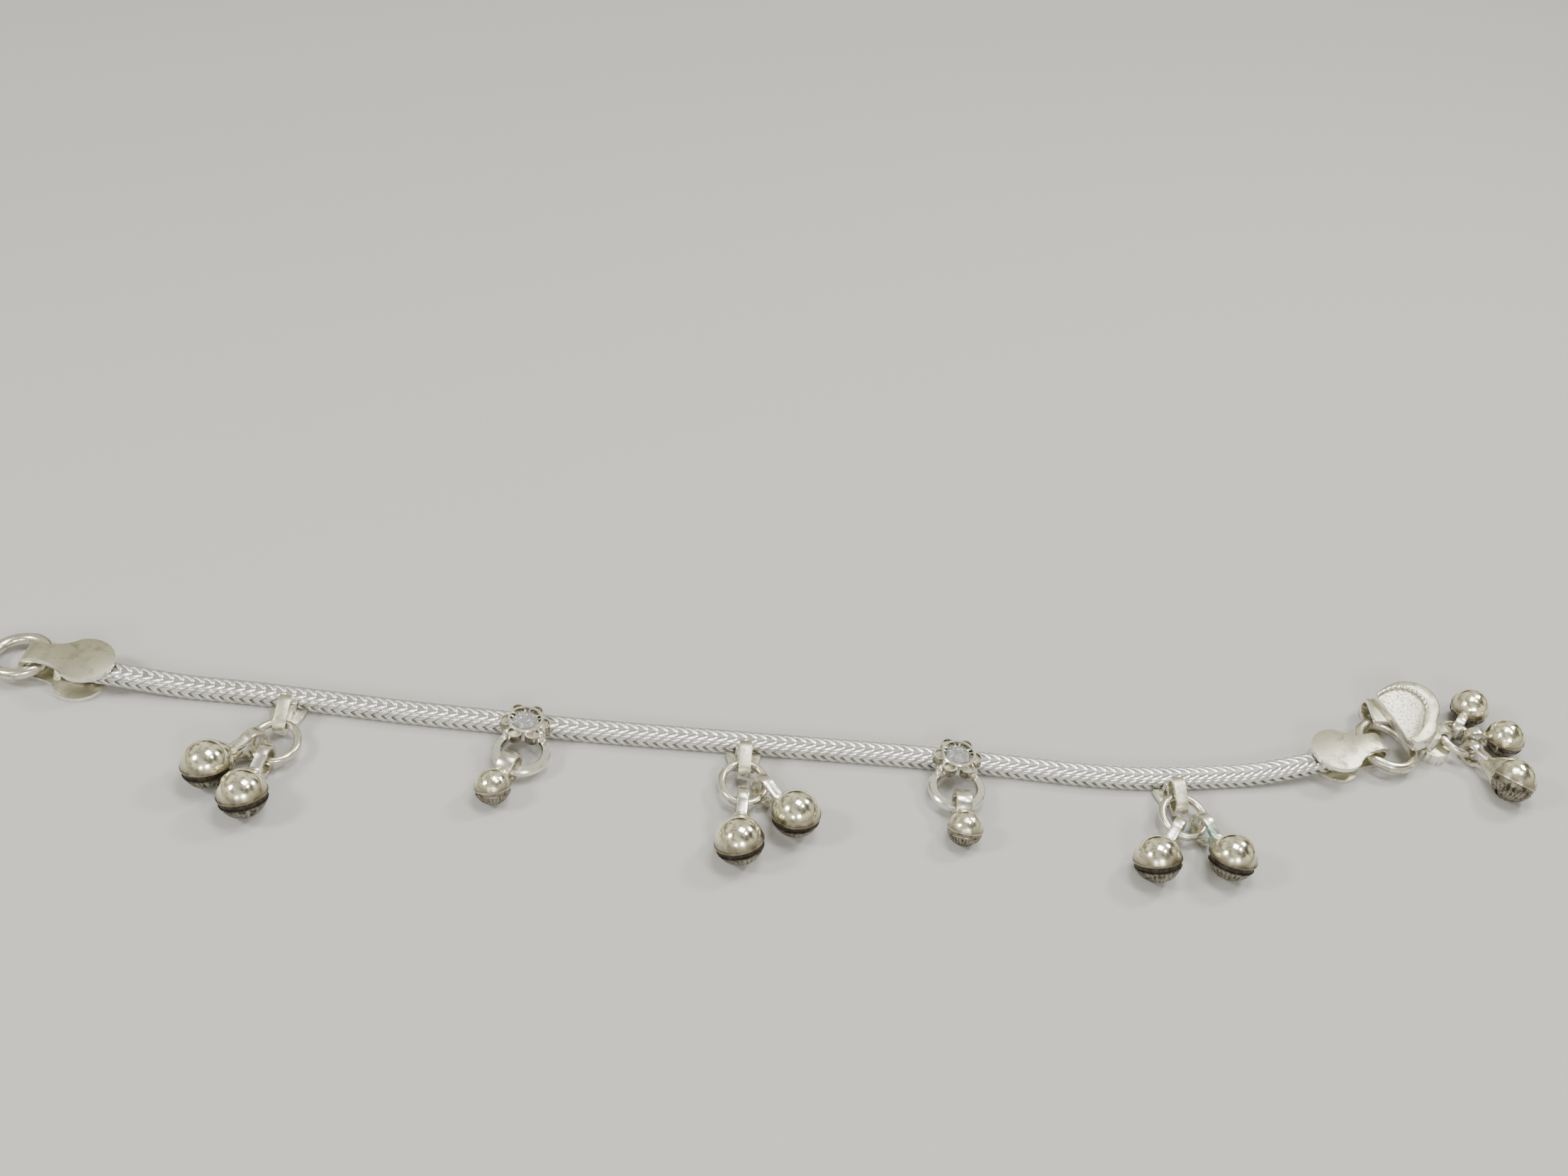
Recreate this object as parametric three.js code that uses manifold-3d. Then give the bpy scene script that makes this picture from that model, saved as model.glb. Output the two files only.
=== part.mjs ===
// Silver anklet with bells and flowers, lying open on a flat surface.
// Millimetres, +Z up, X along the chain, the drops on the -Y side.
import * as THREE from 'three';
import { mergeVertices } from 'three/addons/utils/BufferGeometryUtils.js';
import { ConvexGeometry } from 'three/addons/geometries/ConvexGeometry.js';
import Module from 'manifold-3d';

const wasm = await Module();
wasm.setup();

const degrees = THREE.MathUtils.degToRad;

// Clearance between two pieces that touch on the real anklet
const GAP = 0.3;

// How finely round forms are cut, as sides of a full turn or steps of one curve
const WIRE_SIDES = 8;
const RING_SIDES = 18;
const BELL_SIDES = 14;
const CUP_SIDES = 24;
const PETAL_SIDES = 12;
const PIN_SIDES = 12;
const SOLDER_SIDES = 10;
const BEND_STEPS = 7;
const PLATE_STEPS = 9;
const BAND_STEPS = 12;
const STRAP_STEPS = 6;
const LEAF_STEPS = 26;

// Woven chain
const CHAIN_WIDTH = 3.5;
const CHAIN_HEIGHT = 2.9;
const CHAIN_PITCH = 1.65;
const CHAIN_GROOVE = 0.2;
const CHAIN_LEAN = 0.9;
const CHAIN_CORNER = 0.86;
const CHAIN_LIFT_RUN = 14;

// Middle line of the chain as it lies, x and y from the left end to the right end
const CHAIN_ROUTE = [
  [-109, -2.1], [-101, -3.2], [-94.7, -3.7], [-80.9, -4.2], [-67, -5.3], [-53, -6.4],
  [-39, -7.2], [-24.9, -7.9], [3.5, -8.6], [32.4, -9.3], [47, -10.1], [58, -10.9],
  [69.1, -11.1], [78, -10.4], [84.5, -9.5], [92.4, -8.4], [100.8, -6.4], [109, -3.6],
];

// Caps folded from sheet over the chain ends
const SHEET = 0.85;
const CAP_DISC = 9.3;
const CAP_GRIP = 8;
const CAP_LOWER_GRIP = 6.6;
const CAP_SOLDER = 2.0;
const CAP_SOLDER_LENGTH = 3.6;
const CAP_FOLD_WIDTH = 3.8;
const CAP_FOLD_ROOM = 1.1;
const CAP_NECK_TURN = degrees(62);

// Rings through the folds of the caps
const END_WIRE = 2;
const END_RING_WIDTH = 11.2;

// The ends: the lower plate's skew, and the ring's length across the chain, its shift across, how
// it leans along and across the chain, and how deep its wire lies in the fold
const CHAIN_ENDS = [
  {
    side: 'left', share: 0, outward: -1, skew: degrees(-5),
    length: 11.2, shift: -1, tilt: degrees(6), roll: degrees(4), depth: 3.6,
  },
  {
    side: 'right', share: 1, outward: 1, skew: degrees(-8),
    length: 13, shift: 0.6, tilt: degrees(4), roll: 0, depth: 3.6,
  },
];

// Leaf with its hook, knob and eye
const LEAF_THICK = 2.7;
const LEAF_BEVEL = 0.6;
const LEAF_RECESS = 0.5;
const LEAF_RECESS_SCALE = 0.78;
const LEAF_RECESS_SHIFT = [-0.5, -0.45];
const LEAF_TILT = 4;
const LEAF_RAISE = 0.4;
const HOOK_SHEET = 0.75;
const HOOK_WIDTH = 2.6;
const HOOK_TONGUE = 2.2;
const HOOK_REACH = 2.4;
const HOOK_ROOM = 0.5;
const KNOB_DIAMETER = 6;
const KNOB_STEM = 2.4;
const KNOB_HEIGHT = 2.3;
const KNOB_FLUTES = 18;
const KNOB_FLUTE_DEPTH = 0.25;
const TASSEL_EYE_WIDTH = 1.6;

// Where the hook sits on the right ring, in degrees, and how far it is pulled out on the wire
const HOOK_SEAT = 70.6;
const HOOK_PULL = 0.65;

// Places on the leaf, measured from the hook's wire
const KNOB_AT = [9.6, -5];
const STEM_AT = [8.7, -5.1];
const EYE_AT = [10.9, -3.6];

// Outline of the leaf from above, from the tip round the curved side; the hook is at the origin
const LEAF_OUTLINE = [
  [-0.7, 2.8], [1.2, 4.3], [4.6, 6], [8.2, 5.8], [10.4, 3.8], [10.9, 0.6], [9.6, -2.6], [8.4, -5.8],
  [6, -8], [3.4, -8], [1.3, -2.6],
];

// Jump rings of the bell drops and of the tassel
const RING_WIRE = 1.35;
const RING_WIDTH = 8.6;
const RING_LENGTH = 9.6;
const TASSEL_WIRE = 1.3;
const TASSEL_RING = 8.4;
const TASSEL_TILT = degrees(14);

// Hangers on the front of the chain
const HANGER_SHEET = 0.8;
const HANGER_LENGTH = 6.8;
const HANGER_WIDTH = 2;
const HANGER_SLANT = degrees(22);
const HANGER_SOLDER = 2.8;
const GUSSET_WIDTH = 6;
const GUSSET_TIP = 4.2;
const GUSSET_LENGTH = 3.4;

// Flower links
const FLOWER_PETALS = 6;
const PETAL_DIAMETER = 2.5;
const PETAL_CIRCLE = 5.8;
const PETAL_HEIGHT = 1.5;
const BEZEL_WALL = 0.45;
const BEZEL_HEIGHT = 2.2;
const STONE_DIAMETER = 4.4;
const STONE_GIRDLE = 0.1;
const STONE_TABLE = 2.5;
const STONE_CROWN = 0.65;
const STONE_PAVILION = 1.5;
const STONE_CULET = 1.2;
const STONE_FACETS = 8;
const FLAT_RING = 9.6;
const FLAT_BAND = 1.55;
const FLAT_THICK = 1.2;
const FLAT_LIFT = 1.4;

// Bells: the ball, the strap eye, and the reach from the eye to the middle of the ball
const LARGE_BELL = { ball: 7.9, eye: 5.5, wall: 0.85, width: 1.8, reach: 8.4 };
const TASSEL_BELL = { ball: 6.8, eye: 4.7, wall: 0.8, width: 1.6, reach: 5.4 };
const LOW_TASSEL_BELL = { ball: 7.8, eye: 4.7, wall: 0.8, width: 1.6, reach: 8.8 };
const SMALL_BELL = { ball: 5.9, eye: 5.2, wall: 0.7, width: 2.6, reach: 6.5 };
const BELL_RIM = 0.1;
const BELL_RIM_THICK = 0.5;
const BELL_SLIT = 0.8;
const BELL_SLIT_DEPTH = 0.9;
const BELL_SLIT_SHARE = 0.65;

// Turns from the far end of the ball at which its skin has corners, on both sides of the rim, and
// how far along towards the eye the ball has narrowed to the neck
const BELL_FAR_TURNS = [24, 44, 62, 78];
const BELL_NEAR_TURNS = [102, 114];
const BELL_WAIST_TURN = 122;
const BELL_NECK_SHARE = 0.45;

// The bell drops: place along the chain, how far out in the strap the ring lies and, for each
// bell, where its eye sits on the ring, the way the bell points in degrees from +X, how far the
// eye is pulled outward on the wire, and how much longer the bell's strap is than usual
const BELL_DROPS = [
  { number: 1, along: -72.6, out: 4.8, bells: [
    { letter: 'a', seat: 204, points: 229, pull: -0.3, longer: 0 },
    { letter: 'b', seat: 264, points: 262, pull: 0.4, longer: 0 },
  ] },
  { number: 3, along: 2.2, out: 3.9, bells: [
    { letter: 'a', seat: 266, points: 267, pull: 0.4, longer: 0.6 },
    { letter: 'b', seat: 338, points: 313, pull: -0.1, longer: -0.9 },
  ] },
  { number: 5, along: 74.9, out: 3.4, bells: [
    { letter: 'a', seat: 230, points: 231, pull: 0.3, longer: 0 },
    { letter: 'b', seat: 315, points: 291, pull: -0.1, longer: -0.8 },
  ] },
];

// The flower drops: place along the chain, how far the flower stands in front of the chain's
// middle, and the seat and heading of the small bell
const FLOWER_DROPS = [
  { number: 1, along: -34, forward: 2.3, seat: 246, points: 249 },
  { number: 2, along: 38, forward: 1.8, seat: 278, points: 273 },
];

// The tassel bells: seat on the ring, heading and size
const TASSEL_DROPS = [
  { number: 1, seat: 70, points: 52, size: TASSEL_BELL },
  { number: 2, seat: 10, points: -4, size: TASSEL_BELL },
  { number: 3, seat: -58, points: -57, size: LOW_TASSEL_BELL },
];

function finish(name, color, roughness, metalness = 1) {
  return new THREE.MeshStandardMaterial({ name, color, roughness, metalness });
}

const CHAIN_SILVER = finish('chain_silver', 0xdedcd6, 0.34);
const POLISHED = finish('polished_silver', 0xd8d2c0, 0.16);
const FROSTED = finish('frosted_silver', 0xcfcdbf, 0.55);
const WIRE = finish('wire_silver', 0xd6d2c6, 0.26);
const CLEAR_STONE = finish('clear_stone', 0xe9ecee, 0.04, 0);

// Closed geometry to a solid: the shared vertices are merged and empty triangles dropped
function solidOf(geometry) {
  const plain = geometry.clone();
  plain.deleteAttribute('normal');
  plain.deleteAttribute('uv');
  const merged = mergeVertices(plain, 1e-4);
  const index = merged.index.array;
  const triangles = [];
  for (let i = 0; i < index.length; i += 3) {
    const [a, b, c] = [index[i], index[i + 1], index[i + 2]];
    if (a !== b && b !== c && c !== a) triangles.push(a, b, c);
  }
  const vertProperties = Float32Array.from(merged.attributes.position.array);
  const triVerts = Uint32Array.from(triangles);
  return new wasm.Manifold(new wasm.Mesh({ numProp: 3, vertProperties, triVerts }));
}

function joined(...geometries) {
  return geometries.map(solidOf).reduce((whole, piece) => whole.add(piece));
}

function meshOf(name, solid, material) {
  const { vertProperties, triVerts } = solid.getMesh();
  const geometry = new THREE.BufferGeometry();
  geometry.setAttribute('position', new THREE.BufferAttribute(Float32Array.from(vertProperties), 3));
  geometry.setIndex(new THREE.BufferAttribute(Uint32Array.from(triVerts), 1));
  geometry.computeVertexNormals();
  const mesh = new THREE.Mesh(geometry, material);
  mesh.name = name;
  return mesh;
}

function frame(x, y, z, yaw = 0) {
  const group = new THREE.Group();
  group.position.set(x, y, z);
  group.rotation.z = yaw;
  return group;
}

// The chain's middle line, lifted where the lower plate of a cap lies under it
const chainLift = SHEET + GAP;
const flatRoute = new THREE.CatmullRomCurve3(CHAIN_ROUTE.map(([x, y]) => new THREE.Vector3(x, y, 0)));
const routeLength = flatRoute.getLength();

function chainPoint(share) {
  const point = flatRoute.getPointAt(share);
  const toEnd = Math.min(share, 1 - share) * routeLength;
  const fall = THREE.MathUtils.smoothstep(toEnd, CAP_GRIP, CAP_GRIP + CHAIN_LIFT_RUN);
  point.z = CHAIN_HEIGHT / 2 + chainLift * (1 - fall);
  return point;
}

// Share of the route at which the chain passes a given x
function chainShare(x) {
  let low = 0;
  let high = 1;
  for (let step = 0; step < 30; step += 1) {
    const middle = (low + high) / 2;
    if (flatRoute.getPointAt(middle).x < x) low = middle;
    else high = middle;
  }
  return low;
}

// A frame on the chain's middle line at floor height, turned along the chain
function frameOnChain(x) {
  const share = chainShare(x);
  const point = flatRoute.getPointAt(share);
  const ahead = flatRoute.getTangentAt(share);
  return frame(point.x, point.y, 0, Math.atan2(ahead.y, ahead.x));
}

// Rings of points joined into one closed skin
function loft(rings) {
  const count = rings[0].length;
  const positions = rings.flat().flatMap((point) => point.toArray());
  const index = [];
  for (let ring = 0; ring < rings.length - 1; ring += 1) {
    for (let side = 0; side < count; side += 1) {
      const a = ring * count + side;
      const b = ring * count + ((side + 1) % count);
      index.push(a, b, b + count, a, b + count, a + count);
    }
  }
  const last = (rings.length - 1) * count;
  for (let side = 1; side < count - 1; side += 1) {
    index.push(0, side + 1, side);
    index.push(last, last + side, last + side + 1);
  }
  const geometry = new THREE.BufferGeometry();
  geometry.setAttribute('position', new THREE.Float32BufferAttribute(positions, 3));
  geometry.setIndex(index);
  return geometry;
}

// One cross-section of the chain: four corners, and four face middles that lean along the chain
function chainSection(length, scale) {
  const points = [];
  for (let side = 0; side < 8; side += 1) {
    const onFace = side % 2 === 0;
    const lean = onFace ? CHAIN_LEAN * (side % 4 === 0 ? -0.5 : 0.5) : 0;
    const share = THREE.MathUtils.clamp((length + lean) / routeLength, 0, 1);
    const middle = chainPoint(share);
    const ahead = flatRoute.getTangentAt(share);
    const across = new THREE.Vector3(-ahead.y, ahead.x, 0);
    const angle = side * Math.PI / 4;
    const reach = onFace ? 1 : Math.SQRT2 * CHAIN_CORNER;
    const wide = CHAIN_WIDTH / 2 * scale * reach * Math.cos(angle);
    const high = CHAIN_HEIGHT / 2 * scale * reach * Math.sin(angle);
    points.push(middle.addScaledVector(across, wide).add(new THREE.Vector3(0, 0, high)));
  }
  return points;
}

function chain() {
  const links = Math.round(routeLength / CHAIN_PITCH);
  const narrow = 1 - 2 * CHAIN_GROOVE / CHAIN_HEIGHT;
  const rings = [];
  for (let half = 0; half <= links * 2; half += 1) {
    rings.push(chainSection(half * routeLength / links / 2, half % 2 ? 1 : narrow));
  }
  return meshOf('foxtail_chain', solidOf(loft(rings)), CHAIN_SILVER);
}

// Wire ring lying flat, longer one way than the other, with the same wire all round
function wireRing(width, length, wire) {
  const round = (width - wire) / 2;
  const extra = (length - width) / 2;
  const torus = new THREE.TorusGeometry(round, wire / 2, WIRE_SIDES, RING_SIDES);
  const at = torus.attributes.position;
  for (let i = 0; i < at.count; i += 1) {
    const angle = Math.atan2(at.getY(i), at.getX(i));
    at.setY(i, at.getY(i) + extra * Math.sin(angle));
  }
  return torus;
}

// Point on the middle line of such a ring
function onRing(width, length, wire, seat) {
  const angle = degrees(seat);
  const x = (width - wire) / 2 * Math.cos(angle);
  return new THREE.Vector3(x, (length - wire) / 2 * Math.sin(angle), 0);
}

// Piece of even thickness, from z = 0 up
function flatPiece(outline, depth, steps) {
  return new THREE.ExtrudeGeometry(outline, { depth, bevelEnabled: false, curveSegments: steps });
}

// Flat strap bent into a round eye in the XZ plane, as wide as given along Y
function strapEye(diameter, wall, width) {
  const outline = new THREE.Shape().absarc(0, 0, diameter / 2, 0, 2 * Math.PI);
  outline.holes.push(new THREE.Path().absarc(0, 0, diameter / 2 - wall, 0, 2 * Math.PI, true));
  const eye = flatPiece(outline, width, BEND_STEPS);
  return eye.translate(0, 0, -width / 2).rotateX(Math.PI / 2);
}

// Round plate or pin standing on z = 0
function disc(diameter, height, sides) {
  const round = new THREE.CylinderGeometry(diameter / 2, diameter / 2, height, sides);
  return round.rotateX(Math.PI / 2).translate(0, 0, height / 2);
}

// Cap frame: the chain ends at the origin and comes from -X, the fold lies on the +X side
const mouth = CHAIN_HEIGHT + 2 * GAP;
const capHeight = mouth + 2 * SHEET;
const ringRoom = END_WIRE + 2 * GAP + CAP_FOLD_ROOM;
const foldCentre = GAP + CAP_SOLDER + ringRoom - (mouth / 2 - SHEET / 2);
const capEnd = foldCentre + capHeight / 2;

function capPlate(grip) {
  const half = CAP_FOLD_WIDTH / 2;
  const radius = CAP_DISC / 2;
  const discAt = radius - grip;
  const start = CAP_NECK_TURN;
  const neckX = discAt + radius * Math.cos(start);
  const neckY = radius * Math.sin(start);
  const plate = new THREE.Shape();
  plate.moveTo(foldCentre, -half);
  plate.lineTo(foldCentre, half);
  plate.quadraticCurveTo(foldCentre - CAP_FOLD_WIDTH, half, neckX, neckY);
  plate.absarc(discAt, 0, radius, start, 2 * Math.PI - start, false);
  plate.quadraticCurveTo(foldCentre - CAP_FOLD_WIDTH, -half, foldCentre, -half);
  return flatPiece(plate, SHEET, PLATE_STEPS);
}

function capFold() {
  const bend = new THREE.Shape();
  bend.absarc(0, 0, capHeight / 2, -Math.PI / 2, Math.PI / 2, false);
  bend.absarc(0, 0, mouth / 2, Math.PI / 2, -Math.PI / 2, true);
  const fold = flatPiece(bend, CAP_FOLD_WIDTH, BEND_STEPS);
  fold.translate(0, 0, -CAP_FOLD_WIDTH / 2).rotateX(Math.PI / 2);
  return fold.translate(foldCentre, 0, capHeight / 2);
}

// Skew turns the lower plate about the fold, as the strip was folded not quite straight
function cap(name, skew) {
  const lower = capPlate(CAP_LOWER_GRIP).translate(-foldCentre, 0, 0).rotateZ(skew);
  lower.translate(foldCentre, 0, 0);
  const upper = capPlate(CAP_GRIP).translate(0, 0, capHeight - SHEET);
  const lump = disc(CAP_SOLDER, mouth + SHEET, SOLDER_SIDES).scale(1, CAP_SOLDER_LENGTH / CAP_SOLDER, 1);
  lump.translate(GAP + CAP_SOLDER / 2, 0, SHEET / 2);
  return meshOf(name, joined(lower, upper, capFold(), lump), FROSTED);
}

// Cap and ring at one end of the chain; the ring's far side rests lower than its wire in the fold
function chainEnd({ side, share, outward, skew, length, shift, tilt, roll, depth }) {
  const end = chainPoint(share);
  const ahead = flatRoute.getTangentAt(share).multiplyScalar(outward);
  const place = frame(end.x, end.y, 0, Math.atan2(ahead.y, ahead.x));
  place.add(cap(`${side}_cap`, skew));
  const half = (END_RING_WIDTH - END_WIRE) / 2;
  const ring = meshOf(`${side}_ring`, solidOf(wireRing(END_RING_WIDTH, length, END_WIRE)), WIRE);
  const fromFold = half * Math.cos(tilt) - depth;
  ring.position.set(capEnd + fromFold, shift, capHeight / 2 - half * Math.sin(tilt));
  ring.rotation.set(roll, tilt, 0);
  place.add(ring);
  return place;
}

// Bell frame: the middle of the eye is the origin and the ball lies along +X
function bellSolid(size) {
  const radius = size.ball / 2;
  const eyeRadius = size.eye / 2;
  const neck = size.width / 2;
  const onBall = (turn) => {
    const angle = degrees(turn);
    return [radius * Math.sin(angle), size.reach + radius * Math.cos(angle)];
  };
  const rim = [1, -1].map((side) => [radius + BELL_RIM, size.reach + side * BELL_RIM_THICK / 2]);
  const waist = onBall(BELL_WAIST_TURN);
  const shoulderAt = THREE.MathUtils.lerp(waist[1], eyeRadius, BELL_NECK_SHARE);
  const shoulder = [(waist[0] + neck) / 2, shoulderAt];
  const neckEnd = eyeRadius - size.wall / 2;
  const profile = [
    [0, size.reach + radius], ...BELL_FAR_TURNS.map(onBall), ...rim, ...BELL_NEAR_TURNS.map(onBall),
    waist, shoulder, [neck, eyeRadius], [neck, neckEnd], [0, neckEnd],
  ].map(([out, along]) => new THREE.Vector2(out, along));
  const ball = new THREE.LatheGeometry(profile.reverse(), BELL_SIDES).rotateZ(-Math.PI / 2);
  const slit = new THREE.BoxGeometry(size.ball * BELL_SLIT_SHARE, BELL_SLIT, 2 * BELL_SLIT_DEPTH);
  slit.translate(size.reach, 0, -radius);
  return joined(ball, strapEye(size.eye, size.wall, size.width)).subtract(solidOf(slit));
}

// A bell with its eye at a point, pointing one way, its ball resting on the floor
function hungBell(name, size, eyeAt, pointsDegrees) {
  const bell = meshOf(name, bellSolid(size), POLISHED);
  const rise = Math.asin((size.ball / 2 - eyeAt.z) / size.reach);
  bell.position.copy(eyeAt);
  bell.rotation.set(0, -rise, degrees(pointsDegrees), 'ZYX');
  return bell;
}

// Hanger frame: the chain's front face is at y = 0 and the strap reaches to -Y
const strapInner = RING_WIRE + 3 * GAP;
const strapHeight = strapInner + 2 * HANGER_SHEET;

function hanger(name) {
  const inner = HANGER_LENGTH - 2 * HANGER_SHEET;
  const outline = (length, height) => {
    const round = height / 2;
    const run = length / 2 - round;
    const path = new THREE.Path();
    path.absarc(run, 0, round, -Math.PI / 2, Math.PI / 2, false);
    path.absarc(-run, 0, round, Math.PI / 2, 3 * Math.PI / 2, false);
    return path.getPoints(STRAP_STEPS);
  };
  const strap = new THREE.Shape(outline(HANGER_LENGTH, strapHeight));
  strap.holes.push(new THREE.Path(outline(inner, strapInner)));
  const loop = flatPiece(strap, HANGER_WIDTH, STRAP_STEPS).translate(0, 0, -HANGER_WIDTH / 2);
  loop.rotateX(Math.PI / 2).rotateZ(Math.PI / 2).rotateX(HANGER_SLANT);
  loop.translate(0, -HANGER_LENGTH / 2 * Math.cos(HANGER_SLANT) - GAP, CHAIN_HEIGHT);
  const plate = new THREE.Shape([
    new THREE.Vector2(-GUSSET_WIDTH / 2, -GAP), new THREE.Vector2(-GUSSET_TIP / 2, -GUSSET_LENGTH),
    new THREE.Vector2(GUSSET_TIP / 2, -GUSSET_LENGTH), new THREE.Vector2(GUSSET_WIDTH / 2, -GAP),
  ]);
  const gusset = flatPiece(plate, HANGER_SHEET, STRAP_STEPS).translate(0, 0, GAP);
  const solder = new THREE.BoxGeometry(HANGER_SOLDER, HANGER_SHEET, CHAIN_HEIGHT);
  solder.translate(0, -GAP - HANGER_SHEET / 2, CHAIN_HEIGHT / 2 + GAP);
  return meshOf(name, joined(loop, gusset, solder), FROSTED);
}

function bellDrop({ number, along, out, bells }) {
  const drop = frameOnChain(along);
  const front = -CHAIN_WIDTH / 2;
  const strap = hanger(`hanger_${number}`);
  strap.position.y = front;
  drop.add(strap);
  const nearHeight = LARGE_BELL.wall + 2 * GAP + RING_WIRE / 2;
  const farHeight = CHAIN_HEIGHT - (out - HANGER_LENGTH / 2) * Math.sin(HANGER_SLANT);
  const half = (RING_LENGTH - RING_WIRE) / 2;
  const tilt = Math.asin((farHeight - nearHeight) / (2 * half));
  const farAt = front - GAP - out * Math.cos(HANGER_SLANT);
  const wire = solidOf(wireRing(RING_WIDTH, RING_LENGTH, RING_WIRE));
  const ring = meshOf(`drop_ring_${number}`, wire, WIRE);
  ring.position.set(0, farAt - half * Math.cos(tilt), (farHeight + nearHeight) / 2);
  ring.rotation.x = tilt;
  drop.add(ring);
  for (const { letter, seat, points, pull, longer } of bells) {
    const eyeAt = onRing(RING_WIDTH, RING_LENGTH, RING_WIRE, seat).applyEuler(ring.rotation);
    eyeAt.add(ring.position);
    eyeAt.x += pull * Math.cos(degrees(points));
    eyeAt.y += pull * Math.sin(degrees(points));
    eyeAt.z = Math.max(eyeAt.z, LARGE_BELL.eye / 2);
    const size = { ...LARGE_BELL, reach: LARGE_BELL.reach + longer };
    drop.add(hungBell(`bell_${number}${letter}`, size, eyeAt, points));
  }
  return drop;
}

// Stone with its girdle in the XY plane
function stone(name) {
  const points = [];
  const circle = (diameter, count, turn, z) => {
    for (let i = 0; i < count; i += 1) {
      const angle = (i + turn) * 2 * Math.PI / count;
      points.push(new THREE.Vector3(diameter / 2 * Math.cos(angle), diameter / 2 * Math.sin(angle), z));
    }
  };
  circle(STONE_TABLE, STONE_FACETS, 0.5, STONE_CROWN);
  circle(STONE_DIAMETER, 2 * STONE_FACETS, 0, STONE_GIRDLE / 2);
  circle(STONE_DIAMETER, 2 * STONE_FACETS, 0, -STONE_GIRDLE / 2);
  circle(STONE_CULET, STONE_FACETS, 0.5, -STONE_PAVILION);
  return meshOf(name, solidOf(new ConvexGeometry(points)), CLEAR_STONE);
}

const seatDiameter = STONE_DIAMETER + 2 * GAP;
const bezelDiameter = seatDiameter + 2 * BEZEL_WALL;

// Flower frame: the underside of the flower is at z = 0, the flat ring lies in front and below
function flowerLink(name, forward, ringAt, ringDown) {
  const petals = [];
  for (let petal = 0; petal < FLOWER_PETALS; petal += 1) {
    const angle = petal * 2 * Math.PI / FLOWER_PETALS;
    const x = PETAL_CIRCLE / 2 * Math.cos(angle);
    const y = PETAL_CIRCLE / 2 * Math.sin(angle);
    petals.push(disc(PETAL_DIAMETER, PETAL_HEIGHT, PETAL_SIDES).translate(x, y, 0));
  }
  const cup = joined(disc(bezelDiameter, BEZEL_HEIGHT, CUP_SIDES), ...petals);
  const seat = disc(seatDiameter, BEZEL_HEIGHT, CUP_SIDES);
  seat.translate(0, 0, BEZEL_HEIGHT - STONE_CROWN - 2 * GAP);
  const well = disc(seatDiameter - 2 * BEZEL_WALL, 3 * BEZEL_HEIGHT, CUP_SIDES);
  well.translate(0, 0, -BEZEL_HEIGHT);
  const band = new THREE.Shape().absarc(0, 0, FLAT_RING / 2, 0, 2 * Math.PI);
  band.holes.push(new THREE.Path().absarc(0, 0, FLAT_RING / 2 - FLAT_BAND, 0, 2 * Math.PI, true));
  const ring = flatPiece(band, FLAT_THICK, BAND_STEPS).translate(0, ringAt + forward, -ringDown);
  const lumps = [-1, 1].map((side) => {
    const x = side * (seatDiameter / 2 - BEZEL_WALL / 2);
    const y = ringAt + forward + Math.sqrt(((FLAT_RING - FLAT_BAND) / 2) ** 2 - x ** 2);
    const lump = new THREE.BoxGeometry(FLAT_BAND, FLAT_BAND, ringDown + PETAL_HEIGHT / 2);
    return lump.translate(x, y, (PETAL_HEIGHT / 2 - ringDown) / 2);
  });
  const hollow = cup.subtract(solidOf(seat)).subtract(solidOf(well));
  return meshOf(name, hollow.add(joined(ring, ...lumps)), FROSTED);
}

function flowerDrop({ number, along, forward, seat, points }) {
  const drop = frameOnChain(along);
  const base = CHAIN_HEIGHT + GAP;
  const ringAt = -CHAIN_WIDTH / 2 - GAP - FLAT_RING / 2;
  const link = flowerLink(`flower_link_${number}`, forward, ringAt, base - FLAT_LIFT);
  link.position.set(0, -forward, base);
  drop.add(link);
  const gem = stone(`stone_${number}`);
  gem.position.set(0, -forward, base + BEZEL_HEIGHT - STONE_CROWN);
  drop.add(gem);
  const eyeAt = onRing(FLAT_RING, FLAT_RING, FLAT_BAND, seat);
  eyeAt.y += ringAt;
  eyeAt.z = Math.max(SMALL_BELL.eye / 2, FLAT_LIFT + FLAT_THICK / 2);
  drop.add(hungBell(`small_bell_${number}`, SMALL_BELL, eyeAt, points));
  return drop;
}

function leafBody() {
  const curve = new THREE.SplineCurve(LEAF_OUTLINE.map(([x, y]) => new THREE.Vector2(x, y)));
  const outline = new THREE.Shape(curve.getPoints(LEAF_STEPS));
  const body = new THREE.ExtrudeGeometry(outline, {
    depth: LEAF_THICK - 2 * LEAF_BEVEL, bevelThickness: LEAF_BEVEL, bevelSize: LEAF_BEVEL,
    bevelOffset: -LEAF_BEVEL, bevelSegments: 2,
  });
  body.translate(0, 0, LEAF_BEVEL);
  const shift = new THREE.Vector2(...LEAF_RECESS_SHIFT);
  const inside = curve.getPoints(LEAF_STEPS);
  inside.forEach((point) => point.multiplyScalar(LEAF_RECESS_SCALE).add(shift));
  const recess = flatPiece(new THREE.Shape(inside), LEAF_THICK, LEAF_STEPS);
  recess.translate(0, 0, LEAF_THICK - LEAF_RECESS);
  return solidOf(body).subtract(solidOf(recess));
}

// Hook in the YZ plane round a wire at the origin, open towards -Y, its back on the +Y side
const hookInner = END_WIRE / 2 + HOOK_ROOM;
const hookOuter = hookInner + HOOK_SHEET;

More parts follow.
